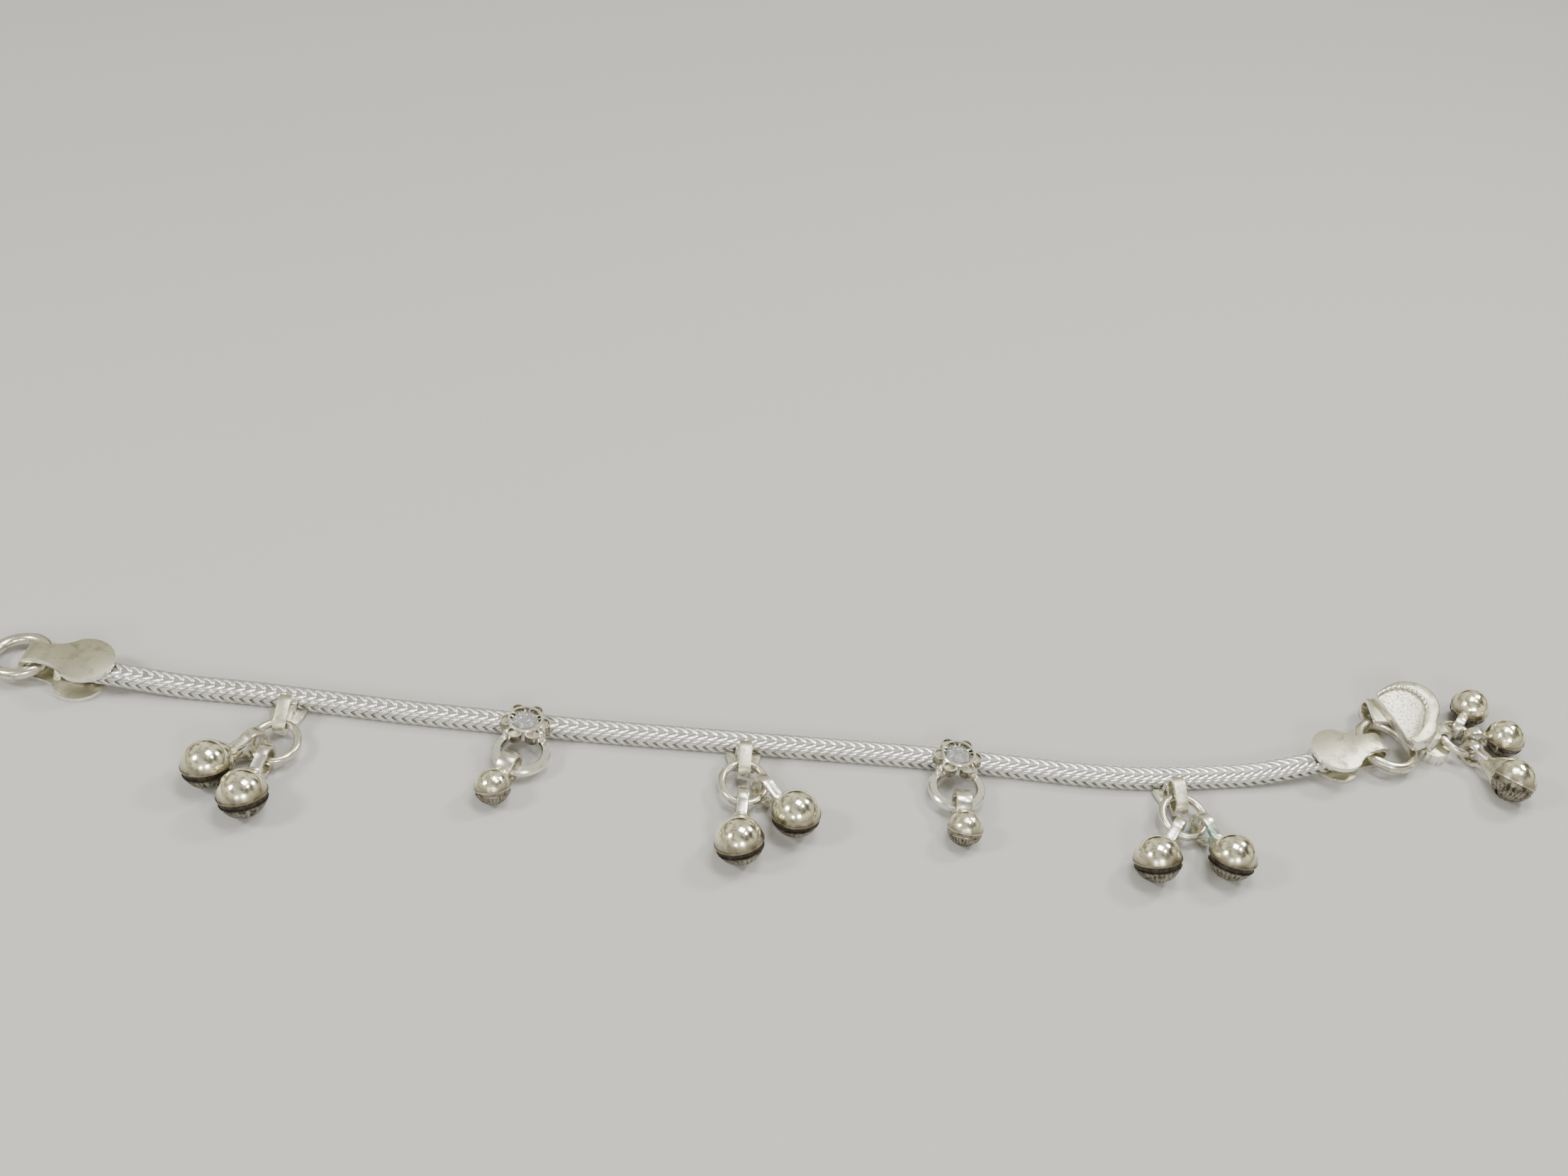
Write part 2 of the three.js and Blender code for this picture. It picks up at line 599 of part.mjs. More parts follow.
function leafHook() {
  const bend = new THREE.Shape();
  bend.moveTo(-HOOK_TONGUE, -hookOuter);
  bend.absarc(HOOK_REACH, 0, hookOuter, -Math.PI / 2, Math.PI / 2, false);
  bend.lineTo(-HOOK_TONGUE, hookOuter);
  bend.lineTo(-HOOK_TONGUE, hookInner);
  bend.absarc(HOOK_REACH, 0, hookInner, Math.PI / 2, -Math.PI / 2, true);
  bend.lineTo(-HOOK_TONGUE, -hookInner);
  const hook = flatPiece(bend, HOOK_WIDTH, STRAP_STEPS);
  return hook.translate(0, 0, -HOOK_WIDTH / 2).rotateX(Math.PI / 2).rotateZ(Math.PI / 2);
}

function knob() {
  const radius = KNOB_DIAMETER / 2;
  const outline = [];
  for (let step = 0; step < KNOB_FLUTES * 2; step += 1) {
    const angle = step * Math.PI / KNOB_FLUTES;
    const reach = step % 2 ? radius : radius - KNOB_FLUTE_DEPTH;
    outline.push(new THREE.Vector2(reach * Math.cos(angle), reach * Math.sin(angle)));
  }
  return flatPiece(new THREE.Shape(outline), KNOB_HEIGHT, 1);
}

const tasselEye = TASSEL_WIRE + 2 * GAP + 2 * HOOK_SHEET;
const eyeHeight = KNOB_HEIGHT + (tasselEye - HOOK_SHEET) / 2;
const leafFloor = 2 * hookOuter - HOOK_SHEET;

// Leaf frame: the origin is on the floor below the hook's wire
function leafClasp() {
  const plate = leafBody().rotate([LEAF_TILT, 0, 0]).translate([0, 0, leafFloor + LEAF_RAISE]);
  const grip = leafHook().translate(0, 0, hookOuter);
  const turned = knob().translate(...KNOB_AT, 0);
  const stem = disc(KNOB_STEM, leafFloor + LEAF_THICK / 2, PIN_SIDES).translate(...STEM_AT, 0);
  const eye = strapEye(tasselEye, HOOK_SHEET, TASSEL_EYE_WIDTH).translate(...EYE_AT, eyeHeight);
  return meshOf('leaf_clasp', plate.add(joined(grip, turned, stem, eye)), FROSTED);
}

// The leaf hangs by its hook from a ring, and the tassel from the leaf's eye
function claspEnd(ring, length) {
  const wireAt = onRing(END_RING_WIDTH, length, END_WIRE, HOOK_SEAT);
  wireAt.addScaledVector(wireAt.clone().normalize(), HOOK_PULL);
  ring.localToWorld(wireAt);
  const place = frame(wireAt.x, wireAt.y, 0);
  place.add(leafClasp());
  const half = (TASSEL_RING - TASSEL_WIRE) / 2;
  const wire = solidOf(wireRing(TASSEL_RING, TASSEL_RING, TASSEL_WIRE));
  const tassel = meshOf('tassel_ring', wire, WIRE);
  const fallsTo = eyeHeight - half * Math.sin(TASSEL_TILT);
  tassel.position.set(EYE_AT[0] + half * Math.cos(TASSEL_TILT), EYE_AT[1], fallsTo);
  tassel.rotation.y = TASSEL_TILT;
  place.add(tassel);
  for (const { number, seat, points, size } of TASSEL_DROPS) {
    const eyeAt = onRing(TASSEL_RING, TASSEL_RING, TASSEL_WIRE, seat).applyEuler(tassel.rotation);
    eyeAt.add(tassel.position);
    eyeAt.z = Math.max(eyeAt.z, size.eye / 2);
    place.add(hungBell(`tassel_bell_${number}`, size, eyeAt, points));
  }
  return place;
}

// The whole anklet, then moved so that the origin is under the middle of its box
const anklet = new THREE.Group();
anklet.add(chain());
CHAIN_ENDS.forEach((end) => anklet.add(chainEnd(end)));
BELL_DROPS.forEach((drop) => anklet.add(bellDrop(drop)));
FLOWER_DROPS.forEach((drop) => anklet.add(flowerDrop(drop)));
anklet.updateMatrixWorld(true);
const rightEnd = CHAIN_ENDS.find((end) => end.side === 'right');
anklet.add(claspEnd(anklet.getObjectByName('right_ring'), rightEnd.length));
anklet.updateMatrixWorld(true);
const box = new THREE.Box3().setFromObject(anklet, true);
anklet.position.set(-(box.min.x + box.max.x) / 2, -(box.min.y + box.max.y) / 2, -box.min.z);

export default anklet;
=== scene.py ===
# Silver anklet with bells, flowers and a leaf clasp, lying open as in the photograph.
# Metres, +Z up, X along the chain, the drops on the -Y side.
import math

import bmesh
import bpy
import numpy as np
from mathutils import Matrix, Vector


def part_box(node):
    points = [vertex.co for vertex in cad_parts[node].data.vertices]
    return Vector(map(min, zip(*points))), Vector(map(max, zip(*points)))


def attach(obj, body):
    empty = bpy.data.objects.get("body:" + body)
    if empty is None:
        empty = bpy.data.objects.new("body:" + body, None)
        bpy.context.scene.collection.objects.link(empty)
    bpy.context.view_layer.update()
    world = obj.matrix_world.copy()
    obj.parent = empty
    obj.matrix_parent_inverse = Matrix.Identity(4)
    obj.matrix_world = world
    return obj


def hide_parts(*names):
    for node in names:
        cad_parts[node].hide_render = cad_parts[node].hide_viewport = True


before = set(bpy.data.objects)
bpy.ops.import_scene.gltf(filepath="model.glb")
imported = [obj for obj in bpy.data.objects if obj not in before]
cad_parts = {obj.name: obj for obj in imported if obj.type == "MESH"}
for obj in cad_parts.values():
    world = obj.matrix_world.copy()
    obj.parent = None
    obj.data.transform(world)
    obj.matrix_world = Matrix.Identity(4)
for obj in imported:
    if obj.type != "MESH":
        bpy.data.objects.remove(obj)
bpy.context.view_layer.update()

# The view
# The photograph looks down on the anklet from in front of it, with the camera held a little askew,
# so the row runs down to the right.
VIEW_PLACE = Vector((-0.03517, -0.20379, 0.22502))
VIEW_DOWN = math.radians(42)
VIEW_ROLL = math.radians(9.6)
VIEW_HEADING = math.radians(-8.17)
# Lens and film width in millimetres
VIEW_LENS = 41.7
VIEW_FILM = 36
VIEW_NEAR = 0.01

view = bpy.data.objects.new("view", bpy.data.cameras.new("view"))
view.data.lens = VIEW_LENS
view.data.sensor_width = VIEW_FILM
view.data.clip_start = VIEW_NEAR
view.matrix_world = (
    Matrix.Translation(VIEW_PLACE)
    @ Matrix.Rotation(VIEW_HEADING, 4, "Z")
    @ Matrix.Rotation(math.pi / 2 - VIEW_DOWN, 4, "X")
    @ Matrix.Rotation(VIEW_ROLL, 4, "Z")
)
bpy.context.scene.collection.objects.link(view)
bpy.context.scene.camera = view

# The woven chain
# Fine silver wire loops are passed through one another, so that four rows of strands wrap the
# corners of a nearly square rope and show as arrowheads on every face. Its ends sit in the caps.
CHAIN_PITCH = 0.00165
CHAIN_HALF_WIDTH = 0.00168
CHAIN_HALF_HEIGHT = 0.00139
CHAIN_CORNER = 0.9
CHAIN_REACH = CHAIN_PITCH * 0.8
CHAIN_EVENING = 6
CHAIN_SMOOTH = 80
STRAND_RUN = 0.0033
STRAND_WIDTH = 0.0006
STRAND_THICK = 0.00042
STRAND_DEPTH = STRAND_THICK * 0.8
STRAND_SINK = 0.00022
STRAND_CROWN = 0.0001
STRAND_TAPER = 0.12
STRAND_TAPER_CURVE = 3
STRAND_STATIONS = 8
STRAND_SIDES = 8
# Painted shade: how much darker the strands are painted towards their sides, and how dark the core seen
# between them is painted; the dark chain colour also serves the tarnish patches
STRAND_SHADE = 0.78
CORE_SHARE = 0.9
CORE_SHADE = 0.6
CORE_STEP = 4
CHAIN_BRIGHT = (0.88, 0.87, 0.835, 1)
CHAIN_DARK = (0.2, 0.19, 0.165, 1)
# Wear of every silver piece: how uneven the noise is, where a patch begins and is full, and how far
# the grain and the patches change the roughness and the height
WEAR_UNEVEN = 0.6
PATCH_DETAIL = 4
GRAIN_DETAIL = 3
PATCH_BEGINS = 0.45
PATCH_FULL = 0.72
GRAIN_ROUGHNESS = 0.12
PATCH_HEIGHT = 0.5
SILVER_HEIGHT = 0.00003
POINT_DECIMALS = 7


def wear_and_shade_group():
    """Silver that is bright where it is rubbed, grey-brown in tarnish patches, and darker where a piece
    gives it painted shade.
    """
    group = bpy.data.node_groups.new("silver_wear_and_shade", "ShaderNodeTree")
    for name in ("Bright", "Dark"):
        group.interface.new_socket(name, in_out="INPUT", socket_type="NodeSocketColor")
    for name in ("Polish", "Dullness", "Patch Scale", "Grain Scale", "Tarnish", "Painted Shade"):
        group.interface.new_socket(name, in_out="INPUT", socket_type="NodeSocketFloat")
    group.interface.new_socket("Color", in_out="OUTPUT", socket_type="NodeSocketColor")
    group.interface.new_socket("Roughness", in_out="OUTPUT", socket_type="NodeSocketFloat")
    group.interface.new_socket("Height", in_out="OUTPUT", socket_type="NodeSocketFloat")
    nodes = group.nodes
    links = group.links
    given = nodes.new("NodeGroupInput")
    out = nodes.new("NodeGroupOutput")
    where = nodes.new("ShaderNodeTexCoord")

    def noise(scale, detail):
        node = nodes.new("ShaderNodeTexNoise")
        node.inputs["Detail"].default_value = detail
        node.inputs["Roughness"].default_value = WEAR_UNEVEN
        links.new(where.outputs["Object"], node.inputs["Vector"])
        links.new(given.outputs[scale], node.inputs["Scale"])
        return node.outputs["Fac"]

    def math_node(operation, first, second, clamp=False):
        node = nodes.new("ShaderNodeMath")
        node.operation = operation
        node.use_clamp = clamp
        for socket, value in zip(node.inputs, (first, second)):
            if isinstance(value, (int, float)):
                socket.default_value = value
            else:
                links.new(value, socket)
        return node.outputs["Value"]

    patches = noise("Patch Scale", PATCH_DETAIL)
    grain = noise("Grain Scale", GRAIN_DETAIL)
    spread = nodes.new("ShaderNodeMapRange")
    spread.interpolation_type = "SMOOTHSTEP"
    spread.inputs["From Min"].default_value = PATCH_BEGINS
    spread.inputs["From Max"].default_value = PATCH_FULL
    links.new(patches, spread.inputs["Value"])
    stained = math_node("MULTIPLY", spread.outputs["Result"], given.outputs["Tarnish"])
    # The painted shade is added to the tarnish patches: it darkens the colour and dulls the roughness.
    mask = math_node("ADD", stained, given.outputs["Painted Shade"], clamp=True)
    blend = nodes.new("ShaderNodeMix")
    blend.data_type = "RGBA"
    links.new(mask, blend.inputs["Factor"])
    links.new(given.outputs["Bright"], blend.inputs["A"])
    links.new(given.outputs["Dark"], blend.inputs["B"])
    links.new(blend.outputs["Result"], out.inputs["Color"])
    rough = nodes.new("ShaderNodeMix")
    rough.data_type = "FLOAT"
    links.new(mask, rough.inputs["Factor"])
    links.new(given.outputs["Polish"], rough.inputs["A"])
    links.new(given.outputs["Dullness"], rough.inputs["B"])
    uneven = math_node("MULTIPLY", grain, GRAIN_ROUGHNESS)
    links.new(math_node("ADD", rough.outputs["Result"], uneven, clamp=True), out.inputs["Roughness"])
    swell = math_node("MULTIPLY", patches, PATCH_HEIGHT)
    links.new(math_node("ADD", grain, swell), out.inputs["Height"])
    return group


silver_wear_and_shade = wear_and_shade_group()


def silver(name, bright, dark, polish, dullness, patch, grain, tarnish, bump, recess=False):
    """Metal with the shared wear; when asked, it also reads the painted shade kept in the piece's own
    attribute.
    """
    material = bpy.data.materials.new(name)
    material.use_nodes = True
    nodes = material.node_tree.nodes
    links = material.node_tree.links
    shader = nodes["Principled BSDF"]
    shader.inputs["Metallic"].default_value = 1
    wear_and_shade = nodes.new("ShaderNodeGroup")
    wear_and_shade.node_tree = silver_wear_and_shade
    for socket, value in (
        ("Bright", bright), ("Dark", dark), ("Polish", polish), ("Dullness", dullness),
        ("Patch Scale", patch), ("Grain Scale", grain), ("Tarnish", tarnish),
    ):
        wear_and_shade.inputs[socket].default_value = value
    if recess:
        shade_attribute = nodes.new("ShaderNodeAttribute")
        shade_attribute.attribute_name = "recess"
        links.new(shade_attribute.outputs["Fac"], wear_and_shade.inputs["Painted Shade"])
    links.new(wear_and_shade.outputs["Color"], shader.inputs["Base Color"])
    links.new(wear_and_shade.outputs["Roughness"], shader.inputs["Roughness"])
    relief = nodes.new("ShaderNodeBump")
    relief.inputs["Distance"].default_value = SILVER_HEIGHT * bump
    links.new(wear_and_shade.outputs["Height"], relief.inputs["Height"])
    links.new(relief.outputs["Normal"], shader.inputs["Normal"])
    return material


def node_points(node):
    """Corners of a frame node, one row each, doubles left out."""
    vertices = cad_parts[node].data.vertices
    points = np.empty(len(vertices) * 3)
    vertices.foreach_get("co", points)
    return np.unique(points.reshape(-1, 3).round(POINT_DECIMALS), axis=0)


def finish_piece(bm, name, materials, replaced, sharp=40):
    """Object from a finished bmesh, in place of a frame node; edges past sharp degrees stay crisp."""
    mesh = bpy.data.meshes.new(name)
    bm.to_mesh(mesh)
    bm.free()
    for material in materials:
        mesh.materials.append(material)
    mesh.shade_smooth()
    mesh.set_sharp_from_angle(angle=math.radians(sharp))
    piece = bpy.data.objects.new(name, mesh)
    bpy.context.scene.collection.objects.link(piece)
    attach(piece, "root")
    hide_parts(replaced)


def chain_line():
    """Places along the middle of the chain, every half pitch."""
    points = node_points("foxtail_chain")
    low = points[:, 0].min()
    high = points[:, 0].max()
    count = int(round((high - low) / CHAIN_PITCH)) * 2
    stations = np.linspace(low, high, count + 1)
    middle = []
    for x in stations:
        near = points[np.abs(points[:, 0] - x) < CHAIN_REACH]
        middle.append((
            (near[:, 1].min() + near[:, 1].max()) / 2,
            (near[:, 2].min() + near[:, 2].max()) / 2,
        ))
    middle = np.array(middle)
    weights = np.hanning(CHAIN_EVENING * 2 + 1)
    weights /= weights.sum()
    ends = (CHAIN_EVENING, CHAIN_EVENING)
    padded = np.pad(middle, (ends, (0, 0)), mode="reflect", reflect_type="odd")
    smooth = np.stack([np.convolve(padded[:, k], weights, mode="valid") for k in (0, 1)], axis=1)
    return [Vector((x, y, z)) for x, (y, z) in zip(stations, smooth)]


def strand_station(share):
    """Place, outward direction and taper of a strand that wraps one corner.

    It runs straight from the middle of the side to the corner, then bends round to lie across the
    middle of the top.
    """
    half = abs(share - 0.5) * 2
    ending = half ** STRAND_TAPER_CURVE
    across = CHAIN_HALF_WIDTH
    up = CHAIN_HALF_HEIGHT
    corner = Vector((0, across * CHAIN_CORNER, up * CHAIN_CORNER))
    end = Vector((0, across, 0)) if share < 0.5 else Vector((0, 0, up))
    place = corner.lerp(end, half)
    place += corner.normalized() * STRAND_CROWN * math.sin(half * math.pi)
    out = Vector((0, place.y / across ** 2, place.z / up ** 2)).normalized()
    place -= out * (STRAND_DEPTH + STRAND_SINK * ending)
    rounding = math.sin((share - 0.5) * math.pi) / 2 if share > 0.5 else share - 0.5
    place.x = STRAND_RUN * rounding
    return place, out, 1 - STRAND_TAPER * ending


def swept(bm, section, matrices):
    """Carry a flat face from matrix to matrix; the first and the last close the ends."""
    verts = list(section.verts)
    bmesh.ops.transform(bm, matrix=matrices[0], verts=verts)
    face = section
    for before, after in zip(matrices, matrices[1:]):
        grown = bmesh.ops.extrude_face_region(bm, geom=[face])["geom"]
        if face is not section:
            bmesh.ops.delete(bm, geom=[face], context="FACES_ONLY")
        verts = [item for item in grown if isinstance(item, bmesh.types.BMVert)]
        bmesh.ops.transform(bm, matrix=after @ before.inverted(), verts=verts)
        face = next(item for item in grown if isinstance(item, bmesh.types.BMFace))


def strand_mesh():
    """One wire strand round the upper corner on the +Y side."""
    bm = bmesh.new()
    recess = bm.verts.layers.float.new("recess")
    places = [strand_station(k / (STRAND_STATIONS - 1)) for k in range(STRAND_STATIONS)]
    matrices = []
    for k, (place, out, taper) in enumerate(places):
        before = places[max(k - 1, 0)][0]
        after = places[min(k + 1, STRAND_STATIONS - 1)][0]
        ahead = (after - before).normalized()
        side = out.cross(ahead).normalized()
        out = ahead.cross(side)
        turn = Matrix((side, out, ahead)).transposed().to_4x4()
        size = Matrix.Diagonal((STRAND_WIDTH * taper, STRAND_THICK, 1, 1))
        matrices.append(Matrix.Translation(place) @ turn @ size)
    circle = bmesh.ops.create_circle(bm, cap_ends=True, segments=STRAND_SIDES, radius=1)["verts"]
    # Painted shade: each point of the section is painted darker the further it lies from the crown, as the
    # shade between the strands
    for vert in circle:
        vert[recess] = max(0, STRAND_SHADE - vert.co.y)
    swept(bm, circle[0].link_faces[0], matrices)
    bmesh.ops.recalc_face_normals(bm, faces=bm.faces)
    mesh = bpy.data.meshes.new("strand")
    bm.to_mesh(mesh)
    bm.free()
    return mesh


def woven_chain():
    """Four rows of strands along the chain's middle, round a square core painted dark as the shade between
    them.
    """
    line = chain_line()
    template = strand_mesh()
    bm = bmesh.new()
    for k in range(1, len(line) - 1, 2):
        ahead = (line[k + 1] - line[k - 1]).normalized()
        across = Vector((0, 0, 1)).cross(ahead).normalized()
        turn = Matrix((ahead, across, ahead.cross(across))).transposed().to_4x4()
        for side, up in ((1, 1), (1, -1), (-1, 1), (-1, -1)):
            start = len(bm.verts)
            bm.from_mesh(template)
            bm.verts.ensure_lookup_table()
            place = Matrix.Translation(line[k]) @ turn @ Matrix.Diagonal((1, side, up, 1))
            bmesh.ops.transform(bm, matrix=place, verts=bm.verts[start:])
    recess = bm.verts.layers.float["recess"]
    # The core is painted dark as the shade seen through the gaps between the strands
    core = bmesh.ops.create_circle(bm, cap_ends=True, segments=4, radius=1)["verts"]
    for vert in core:
        vert[recess] = CORE_SHADE
    size = Matrix.Diagonal((CHAIN_HALF_WIDTH * CORE_SHARE, CHAIN_HALF_HEIGHT * CORE_SHARE, 1, 1))
    stand = Matrix(((0, 0, 1), (1, 0, 0), (0, 1, 0))).to_4x4()
    square = Matrix.Rotation(math.pi / 4, 4, "Z")
    size = size @ Matrix.Scale(math.sqrt(2), 4)
    bmesh.ops.transform(bm, matrix=Matrix.Translation(line[0]) @ stand @ size @ square, verts=core)
    face = next(f for f in core[0].link_faces if len(f.verts) == 4)
    for k in range(CORE_STEP, len(line), CORE_STEP):
        grown = bmesh.ops.extrude_face_region(bm, geom=[face])["geom"]
        ring = [item for item in grown if isinstance(item, bmesh.types.BMVert)]
        bmesh.ops.translate(bm, vec=line[k] - line[k - CORE_STEP], verts=ring)
        face = next(item for item in grown if isinstance(item, bmesh.types.BMFace))
    bmesh.ops.recalc_face_normals(bm, faces=bm.faces)
    chain_silver = silver(
        "chain_silver", CHAIN_BRIGHT, CHAIN_DARK, polish=0.22, dullness=0.5,
        patch=400, grain=9000, tarnish=0.25, bump=0.12, recess=True,
    )
    finish_piece(
        bm, "woven_chain", [chain_silver], "foxtail_chain", sharp=CHAIN_SMOOTH
    )


woven_chain()

# The end caps
# Each end of the chain is gripped by a strip of silver sheet, bent double through the ring, with a
# round plate above and below the chain. The faces are frosted and the cut edges rubbed bright.
CAP_EDGE = 0.00017
EDGE_TURN = math.radians(32)
FLAT_TURN = math.radians(1)
RUBBED_STEEPNESS = 0.5
WELD = 0.000002
FROSTED_BRIGHT = (0.56, 0.545, 0.41, 1)
FROSTED_DARK = (0.24, 0.22, 0.15, 1)
EDGE_BRIGHT = (0.92, 0.9, 0.82, 1)

frosted_silver = silver(
    "frosted_silver", FROSTED_BRIGHT, FROSTED_DARK, polish=0.34, dullness=0.52,
    patch=420, grain=3600, tarnish=0.85, bump=1.2,
)
rubbed_edge = silver(
    "rubbed_edge", EDGE_BRIGHT, FROSTED_DARK, polish=0.14, dullness=0.4,
    patch=900, grain=6000, tarnish=0.3, bump=0.2,
)


def soften_edges(bm, width, turn=EDGE_TURN, material=None):
    """Round the edges sharper than turn, and give the rounded faces a material of their own."""
    sharp = [edge for edge in bm.edges if edge.is_manifold and edge.calc_face_angle() > turn]
    made = bmesh.ops.bevel(
        bm, geom=sharp, offset=width, offset_type="OFFSET", affect="EDGES",
        segments=2, profile=0.5, material=-1, clamp_overlap=True,
    )
    if material is not None:
        for face in made["faces"]:
            face.material_index = material


def softened(node, width):
    """Copy of a frame node with whole flat faces and rounded edges, its upright sides rubbed."""
    bm = bmesh.new()
    bm.from_mesh(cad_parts[node].data)
    bmesh.ops.remove_doubles(bm, verts=bm.verts, dist=WELD)
    bmesh.ops.dissolve_limit(bm, angle_limit=FLAT_TURN, verts=bm.verts, edges=bm.edges)
    soften_edges(bm, width, material=1)
    for face in bm.faces:
        if abs(face.normal.z) < RUBBED_STEEPNESS:
            face.material_index = 1
    return bm


for side in ("left", "right"):
    cap = softened(f"{side}_cap", CAP_EDGE)
    finish_piece(
        cap, f"{side}_cap_shell", [frosted_silver, rubbed_edge], f"{side}_cap"
    )

# The wire rings
# Rings of drawn silver wire, closed by hand: one through each cap, one under each hanger and one
# that carries the tassel. They are polished by wear where the bells rub along them.
RING_NODES = ("left_ring", "right_ring", "drop_ring_1", "drop_ring_3", "drop_ring_5", "tassel_ring")
RING_SIDES = 14
RING_STEPS = 56
WIRE_BRIGHT = (0.74, 0.71, 0.6, 1)
WIRE_DARK = (0.17, 0.15, 0.105, 1)

wire_silver = silver(
    "wire_silver", WIRE_BRIGHT, WIRE_DARK, polish=0.17, dullness=0.45,
    patch=500, grain=3000, tarnish=0.6, bump=0.3,
)


def frame_at(place, along, up):
    """Matrix at a place whose X runs along and whose Z is as near up as that allows."""
    along = Vector(along).normalized()
    across = Vector(up).cross(along).normalized()
    turn = Matrix((along, across, along.cross(across))).transposed().to_4x4()
    return Matrix.Translation(Vector(place)) @ turn


def wire_ring(node):
    """Ring as long, wide and tilted as its frame node, with round wire."""
    points = node_points(node)
    centre = points.mean(axis=0)
    axes = np.linalg.svd(points - centre)[2]
    length, width, wire = np.ptp((points - centre) @ axes.T, axis=0)
    bm = bmesh.new()
    made = bmesh.ops.create_circle(bm, segments=RING_SIDES, radius=wire / 2)["verts"]
    bmesh.ops.rotate(bm, matrix=Matrix.Rotation(math.pi / 2, 3, "X"), verts=made)
    bmesh.ops.translate(bm, vec=((width - wire) / 2, 0, 0), verts=made)
    bmesh.ops.spin(
        bm, geom=bm.verts[:] + bm.edges[:], cent=(0, 0, 0), axis=(0, 0, 1),
        angle=2 * math.pi, steps=RING_STEPS, use_merge=True,
    )
    bmesh.ops.remove_doubles(bm, verts=bm.verts, dist=WELD)
    for vert in bm.verts:
        vert.co.x += (length - width) / 2 * vert.co.x / math.hypot(vert.co.x, vert.co.y)
    bmesh.ops.recalc_face_normals(bm, faces=bm.faces)
    bmesh.ops.transform(bm, matrix=frame_at(centre, axes[0], axes[2]), verts=bm.verts)
    finish_piece(bm, f"{node}_wire", [wire_silver], node)


for node in RING_NODES:
    wire_ring(node)

# The hangers
# Cast pieces soldered to the front of the chain: a fan-shaped plate with a slot-shaped strap
# standing on it, through which the drop's ring passes. Frosted on top, with rubbed sides.
HANGERS = (1, 3, 5)
HANGER_EDGE = 0.0002

for number in HANGERS:
    finish_piece(
        softened(f"hanger_{number}", HANGER_EDGE), f"hanger_{number}_cast",
        [frosted_silver, rubbed_edge], f"hanger_{number}",
    )

# The bells
# Hollow jingle bells stamped from thin sheet: a smooth dome and a fluted half, joined at a rim and
# slit below, hung from a strap bent round the ring. The domes are polished. The fluted half is dull,
# tarnished in patches and painted dark, standing for the shade and dark reflections under the ball.

# For each kind: the ball, the eye, the strap's wall and width, and how strongly the groove and the
# bands round the middle show
BELL_SIZES = {
    "large": {"ball": 0.0079, "eye": 0.0055, "wall": 0.00085, "width": 0.0018, "groove": 1},
    "tassel": {"ball": 0.0068, "eye": 0.0047, "wall": 0.0008, "width": 0.0016, "groove": 0.6},
    "low": {"ball": 0.0078, "eye": 0.0047, "wall": 0.0008, "width": 0.0016, "groove": 0.5},
    "small": {"ball": 0.0059, "eye": 0.0052, "wall": 0.0007, "width": 0.0026, "groove": 0.3},
}
# For each bell: its size, its finish (the stained one has a smooth dome and a stained strap), and
# how many degrees the dome leans towards the chain and towards the clasp
BELLS = {
    "bell_1a": ("large", "smooth", 18, -8),
    "bell_1b": ("large", "smooth", 20, -12),
    "bell_3a": ("large", "smooth", 18, -16),
    "bell_3b": ("large", "smooth", 12, -4),
    "bell_5a": ("large", "smooth", 30, -12),
    "bell_5b": ("large", "stained", 22, 8),
    "small_bell_1": ("small", "dimpled", 25, -10),
    "small_bell_2": ("small", "dimpled", 30, 5),
    "tassel_bell_1": ("tassel", "dimpled", 0, 0),
    "tassel_bell_2": ("tassel", "dimpled", 10, 0),
    "tassel_bell_3": ("low", "dimpled", 30, 25),
}
BELL_STEPS = 56
DOME_STATIONS = 10
BALL_ROUNDS = 6
BALL_SLACK = 0.06
# Rim, dark groove and ridge round the middle: height and stand-out as shares of the ball's radius
BELL_BANDS = (
    (0.05, 0.025), (-0.03, 0.025), (-0.05, -0.035), (-0.27, -0.035), (-0.29, 0.022), (-0.38, 0.022),
)
# Painted shade and reflection: how dark the groove is painted as shade, a dark reflection band painted on
# the dome towards the rim, and painted shade in the flutes' valleys
BAND_SHADE = 0.9
BAND_END = 0.8
RIM_SHADE = 0.95
RIM_SHADE_HEIGHT = 0.55
FLUTE_START = 0.75
FLUTE_FADE = 3
FLUTE_DEPTH = 0.0001
FLUTE_SHADE = 0.55
SLIT_HALF = 0.00035
SLIT_SHARE = 0.34
SLIT_DEPTH = 0.0009
SLIT_SNAP = WELD / 10
EYE_OPEN = math.radians(38)
EYE_STATIONS = 17
STRAP_ROOT = 0.9
STRAP_EDGE = 0.00014
STRAP_TURN = math.radians(60)
NECK_SOLDER = (0.0005, 0.0009, 0.0007)
NECK_TURN = math.radians(52)
NECK_SHARE = 0.5
NECK_SINK = 0.2
NECK_FLARE = 0.98
NECK_STEPS = 28
POLISHED_BRIGHT = (1, 0.955, 0.74, 1)
POLISHED_DARK = (0.2, 0.17, 0.115, 1)
# Painted shade: the bells' fluted half and the flowers' sides take this darker silver, standing for the
# shade and dark reflections on them; its patches are real tarnish
SHADED_SILVER_BRIGHT = (0.34, 0.31, 0.245, 1)
FLUTE_DARK = (0.05, 0.044, 0.034, 1)
STAIN_DARK = (0.05, 0.3, 0.25, 1)

